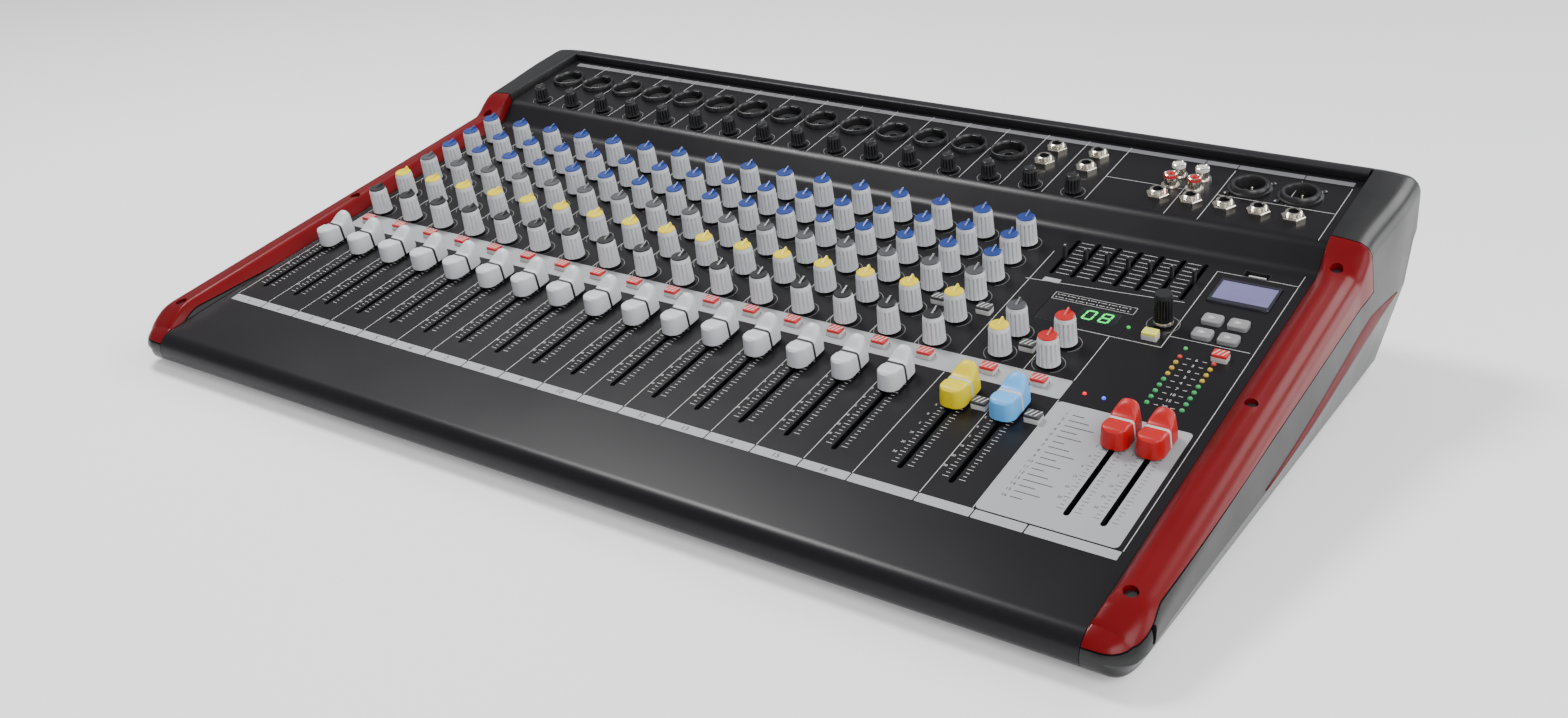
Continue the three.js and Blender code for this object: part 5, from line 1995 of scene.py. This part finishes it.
class CONSOLE_OT_ends(ConsoleOperator, bpy.types.Operator):
    """Makes the glossy red cheeks and the black end shells"""

    bl_idname = "console.ends"
    bl_label = "Cheeks and shells"

    def execute(self, context):
        L = layout()
        end = EndShape(L, sizes())
        rings = [end.ring(y) for y in end.places()]
        whole = to_mesh(loft(rings), L.upright)
        shell = link("right_end_shell_body", whole.copy(), [shell_plastic()], 22)
        cheek = link("right_cheek_body", whole, [cheek_gloss()], 22)
        cut(cheek, parting_prism(L, end, 0.35), "INTERSECT")
        cut(shell, parting_prism(L, end, -0.35), "DIFFERENCE")
        wells = []
        screws = []
        for v in (-22.6, L.cue_row + 14.6, L.riser_foot - 1.8):
            level = self.roof(L, end, v)
            place = (end.inner + 10, v)
            wells.append(turned([(3.4, level - 4.5), (3.4, level + 6)], 28, place))
            head = turned(
                [(3.2, level - 4.6), (3.2, level - 2.8), (2.6, level - 2.1), (0.6, level - 2.1)],
                    24, place
            )
            screws.append(head)
        well = joined(wells)
        bmesh.ops.transform(well, matrix=L.deck, verts=well.verts)
        cut(cheek, well)
        hole = loft(
            [[(x, y, z) for y, z in self.side_hole(L)] for x in (end.inner + 12, end.crease + 4)]
        )
        bmesh.ops.transform(hole, matrix=L.upright, verts=hole.verts)
        cut(shell, hole)
        for mesh in (cheek.data, shell.data):
            mesh.set_sharp_from_angle(angle=math.radians(22))
        leaf = self.leaf(L, end)
        parts = [
            (cheek, "red_cheek", "red_gloss"),
            (shell, "end_shell", "black_shell"),
            (add_shape("right_leaf", leaf, leaf_gloss(), L.upright, 22), None, "red_gloss"),
            (
                add_shape("right_cheek_screws", joined(screws), black_plastic(), L.deck),
                None,
                "red_gloss",
            ),
        ]
        for piece, node, slot in parts:
            name = piece.name.replace("right", "left")
            other = bpy.data.objects.new(name, flipped(piece.data))
            context.scene.collection.objects.link(other)
            for side, side_piece in (("right", piece), ("left", other)):
                replaced = [f"{side}_{node}"] if node else []
                finish_piece(side_piece, "console", replaced)
        return {"FINISHED"}

    def roof(self, L, end, v):
        y, _ = L.stand(v, end.rise)
        top = end.top(y)
        return (top - L.stand(v, 0)[1]) * math.cos(L.tilt)

    def side_hole(self, L):
        """An upright oblong hole near the nose."""
        y, z = L.front + 19.7, L.base + 17.5
        return arc(y, z + 2.8, 1.7, 0, math.pi, 8) + arc(y, z - 2.8, 1.7, math.pi, 2 * math.pi, 8)

    def leaf(self, L, end):
        """A slim red leaf set into the side along the crease, widest towards the back."""
        rings = []
        first, last = L.front + 150, L.front + 370
        steps = 60
        for i in range(steps + 1):
            t = i / steps
            y = first + (last - first) * t
            side, top, _, tall, crease, _, _ = end.marks(y)
            edge = min(end.edge, 0.49 * tall)
            up = Vector((side - crease[0], top - edge - 1 - crease[1])).normalized()
            out = Vector((up.y, -up.x))
            width = 0.5 + 9.5 * (t / 0.76 if t < 0.76 else (1 - t) / 0.24) ** 0.9

            def on_side(share, proud):
                place = Vector(crease) + up * (0.8 + width * (1 - share)) + out * proud
                return (place.x, y, place.y)

            rings.append(
                [
                    on_side(0.0, -1.5),
                    on_side(0.0, 0.06),
                    on_side(0.12, 0.35),
                    on_side(0.5, 0.15),
                    on_side(0.88, 0.35),
                    on_side(1.0, 0.06),
                    on_side(1.0, -1.5),
                ]
            )
        return loft(rings)


# ---- Rear, underside, mains inlet -------------------------------------------------------------


def inlet_frame(L):
    """From the inlet's own axes to the row frame: z out of the rear wall, y pointing down it."""
    low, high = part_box("mains_inlet")
    lean = math.atan2(30.3 - 23.5, 50)
    rise = 12 + 27 / 2
    x = (low.x + high.x) / 2 / MM
    return (
        Matrix.Scale(MM, 4)
        @ Matrix.Translation((x, L.wall_foot + math.tan(lean) * rise, L.base + rise))
        @ Matrix.Rotation(-math.pi / 2 - lean, 4, "X")
    )


class CONSOLE_OT_rear(ConsoleOperator, bpy.types.Operator):
    """Makes the rear cover, the bottom tray and the feet"""

    bl_idname = "console.rear"
    bl_label = "Rear, tray and feet"

    def execute(self, context):
        L = layout()
        end = EndShape(L, sizes())
        self.cover(L, end)
        self.tray()
        self.feet(L)
        self.supply()
        return {"FINISHED"}

    def cover(self, L, end):
        lip = [L.stand(L.connector_back + 0.3, n) for n in (L.rise - 4, L.frame_top)]
        wall = [end.wall[3], end.wall[2], end.wall[1], end.wall[0]]
        lower = rounded_path(wall, 9, 6)
        path = rounded_path([*lip, end.shoulder_curve[0]], 2.2, 5)[:-1]
        path += end.shoulder_curve + lower[1:]
        outline = folded(path, 1.5)
        skin = loft([[(x, y, z) for y, z in outline] for x in (-L.half, L.half)])
        cover = link("rear_cover_sheet", to_mesh(skin, L.upright), [powder_coat()], 30)
        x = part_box("mains_inlet")
        middle = (x[0].x + x[1].x) / 2 / MM
        hole = block(middle - 19.3, middle + 19.3, L.wall_foot - 60, L.wall_foot + 60,
            L.base + 11.7, L.base + 39.3)
        bmesh.ops.transform(hole, matrix=L.upright, verts=hole.verts)
        cut(cover, hole)
        finish_piece(cover, "console", ["rear_cover"])

    def tray(self):
        self.paint("bottom_tray", powder_coat())

    def feet(self, L):
        for name in ("front_left_foot", "front_right_foot", "back_left_foot", "back_right_foot"):
            low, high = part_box(name)
            x, y = (low.x + high.x) / 2 / MM, (low.y + high.y) / 2 / MM
            radius, top = (high.x - low.x) / 2 / MM, high.z / MM
            foot = turned(
                [
                    (radius - 2.6, 0.0),
                    (radius - 1.2, 0.0),
                    (radius - 0.5, 0.6),
                    (radius, top - 0.8),
                    (radius, top),
                ],
                36,
                (x, y),
            )
            piece = add_shape(f"{name}_pad", foot, rubber(), L.upright)
            finish_piece(piece, "console", [name])

    def supply(self):
        self.paint("power_supply", tinted("transformer tape", (0.05, 0.05, 0.055), 0.45))

    def paint(self, node, material):
        nodes = bpy.data.objects[node]
        for slot in nodes.material_slots:
            slot.material = material


class CONSOLE_OT_inlet(ConsoleOperator, bpy.types.Operator):
    """Makes the mains inlet with its three blades and the rocker switch"""

    bl_idname = "console.inlet"
    bl_label = "Mains inlet"

    def execute(self, context):
        L = layout()
        place = inlet_frame(L)
        face = pillow(44, 32, 0.3, 3.0, 2.5, 0.8)
        body = pillow(37, 21, -17.5, 0.4, 1.5, 0.5)
        inlet = link("mains_inlet_housing", to_mesh(joined([face]), place), [black_plastic()], 30)
        cavity = loft([ [(x - 6.5, y, n) for x, y in self.keyed(9.6, 6.8)] for n in (-9, 6) ])
        window = plate(rounded_outline(11, 17, 0.8, 2, (11.5, 0)), -9, 6)
        cutter = joined([cavity, window])
        bmesh.ops.transform(cutter, matrix=place, verts=cutter.verts)
        cut(inlet, cutter)
        finish_piece(inlet, "console", ["mains_inlet"])
        tub = loft(
            [
                [(x, y, n) for x, y in rounded_outline(w, d, r, 3)]
                for w, d, r, n in ((36.6, 20.6, 1.5, 0.5), (36.6, 20.6, 1.5, -16))
            ]
        )
        hollow = joined(
            [
                loft([[(x - 6.5, y, n) for x, y in self.keyed(9.6, 6.8)] for n in (-8.6, 6)]),
                plate(rounded_outline(11, 17, 0.8, 2, (11.5, 0)), -8.6, 6),
            ]
        )
        tub_piece = link("mains_inlet_tub", to_mesh(tub, place), [black_plastic()], 30)
        bmesh.ops.transform(hollow, matrix=place, verts=hollow.verts)
        cut(tub_piece, hollow)
        body.free()
        finish_piece(tub_piece, "console")
        blades = joined(
            [
                pillow(1.8, 2.6, -8.8, -3.4, 0.3, 0.3, (-6.5 + dx, dy))
                for dx, dy in ((-5, -1.5), (5, -1.5), (0, 3))
            ]
        )
        finish_piece(
            add_shape("mains_inlet_blades", blades, nickel(), place), "console"
        )
        self.rocker(place)
        return {"FINISHED"}

    def keyed(self, half_width, half_depth):
        """An inlet opening with two slanted corners."""
        slant = 3.2
        return [
            (-half_width, -half_depth),
            (half_width, -half_depth),
            (half_width, half_depth - slant),
            (half_width - slant, half_depth),
            (-half_width + slant, half_depth),
            (-half_width, half_depth - slant),
        ]

    def rocker(self, place):
        half = 7.5
        outline = [
            (-half + 1, -4),
            (half - 1, -4),
            (half - 0.05, 1.5),
            (half - 0.5, 1.95),
            (half * 0.5, 1.15),
            (0, 0.6),
            (-half * 0.5, 1.15),
            (-half + 0.5, 1.95),
            (-half + 0.05, 1.5),
        ]
        shape = loft(
            [
                [(x, y * inset, n * (inset if n > 0 else 1)) for y, n in outline]
                for x, inset in ((-4.5, 0.97), (-4.2, 1.0), (4.2, 1.0), (4.5, 0.97))
            ]
        )
        turn = place @ Matrix.Translation((11.5, 0, 2.5)) @ Matrix.Rotation(0.12, 4, "X")
        red = tinted("red rocker plastic", (0.5, 0.02, 0.02), 0.25)
        piece = add_shape("power_rocker_key", shape, red, turn)
        finish_piece(piece, "power_rocker", ["power_rocker"])
        marks = joined(
            [
                block(-0.25, 0.25, 2.8, 5.2, 1.55, 1.75),
                washer([(1.0, 1.45), (1.0, 1.75), (1.4, 1.75), (1.4, 1.45)], 20, (0, -4.2)),
            ]
        )
        piece = add_shape("power_rocker_marks", marks, white_ink(), turn)
        finish_piece(piece, "power_rocker")


# ---- Stage ------------------------------------------------------------------------------------


class CONSOLE_OT_stage(ConsoleOperator, bpy.types.Operator):
    """Sets the pale floor, the soft lights and the camera"""

    bl_idname = "console.stage"
    bl_label = "Stage"

    def execute(self, context):
        self.floor(context)
        self.lights(context)
        self.camera(context)
        return {"FINISHED"}

    def floor(self, context):
        shape = bmesh.new()
        bmesh.ops.create_grid(shape, x_segments=8, y_segments=8, size=6)
        mesh = bpy.data.meshes.new("floor")
        shape.to_mesh(mesh)
        shape.free()
        material = moulded(
            "pale studio floor",
            colours().floor,
            0.6,
            spread=0.01,
            patch=3,
            bump=0.0,
            Emission_Color=(1, 1, 1, 1),
            Emission_Strength=0.22,
        )
        floor = link("floor", mesh, [material])

    def lights(self, context):
        world = bpy.data.worlds.new("studio")
        world.use_nodes = True
        background = world.node_tree.nodes["Background"]
        background.inputs["Color"].default_value = (0.95, 0.96, 1.0, 1)
        background.inputs["Strength"].default_value = 0.35
        context.scene.world = world
        for name, place, target, size, power in (
            ("key", (-0.72, 0.12, 1.4), (0, -0.05, 0.05), 0.5, 24),
            ("fill", (1.5, -1.5, 1.6), (0.1, 0, 0.05), 1.6, 46),
            ("side", (2.3, 0.3, 1.1), (0.2, 0, 0.05), 1.6, 26),
            ("back", (1.1, 2.4, 1.9), (0.1, 0.1, 0.05), 1.6, 40),
            ("rim", (1.75, 1.95, 0.4), (0.3, 0, 0.05), 0.9, 9),
        ):
            data = bpy.data.lights.new(name, "AREA")
            data.shape = "DISK"
            data.size = size
            data.energy = power
            light = bpy.data.objects.new(name, data)
            light.location = place
            aim = Vector(target) - Vector(place)
            light.rotation_euler = aim.to_track_quat("-Z", "Y").to_euler()
            context.scene.collection.objects.link(light)

    def camera(self, context):
        data = bpy.data.cameras.new("camera")
        data.lens = 36.06
        data.sensor_width = 36
        camera = bpy.data.objects.new("camera", data)
        right = Vector((0.83550, 0.54941, -0.00912))
        up = Vector((-0.21419, 0.34091, 0.91537))
        back = -Vector((-0.50603, 0.76284, -0.40251))
        rotation = Matrix((right, up, back)).transposed().to_4x4()
        camera.matrix_world = Matrix.Translation((0.4897, -0.7180, 0.3814)) @ rotation
        context.scene.collection.objects.link(camera)
        context.scene.camera = camera


# ---- Add-on -----------------------------------------------------------------------------------

OPERATORS = (
    CONSOLE_OT_stage,
    CONSOLE_OT_top_panel,
    CONSOLE_OT_ends,
    CONSOLE_OT_rear,
    CONSOLE_OT_inlet,
    CONSOLE_OT_printing,
    CONSOLE_OT_knobs,
    CONSOLE_OT_faders,
    CONSOLE_OT_buttons,
    CONSOLE_OT_lamps,
    CONSOLE_OT_sockets,
)


class CONSOLE_PT_panel(bpy.types.Panel):
    """Lists the steps that build the console"""

    bl_idname = "CONSOLE_PT_panel"
    bl_label = "Mixing Console"
    bl_space_type = "VIEW_3D"
    bl_region_type = "UI"
    bl_category = "Console"

    def draw(self, context):
        layout_ = self.layout
        for group in (context.scene.console_sizes, context.scene.console_colours):
            box = layout_.box()
            for name in group.bl_rna.properties.keys():
                if name not in {"rna_type", "name"}:
                    box.prop(group, name)
        for operator in OPERATORS:
            layout_.operator(operator.bl_idname)


CLASSES = (ConsoleSizes, ConsoleColours, *OPERATORS, CONSOLE_PT_panel)


def register():
    for cls in CLASSES:
        bpy.utils.register_class(cls)
    bpy.types.Scene.console_sizes = bpy.props.PointerProperty(type=ConsoleSizes)
    bpy.types.Scene.console_colours = bpy.props.PointerProperty(type=ConsoleColours)


def unregister():
    del bpy.types.Scene.console_colours
    del bpy.types.Scene.console_sizes
    for cls in reversed(CLASSES):
        bpy.utils.unregister_class(cls)


def main():
    register()
    for operator in OPERATORS:
        group, name = operator.bl_idname.split(".")
        getattr(getattr(bpy.ops, group), name)()
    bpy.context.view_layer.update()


if __name__ == "__main__":
    main()
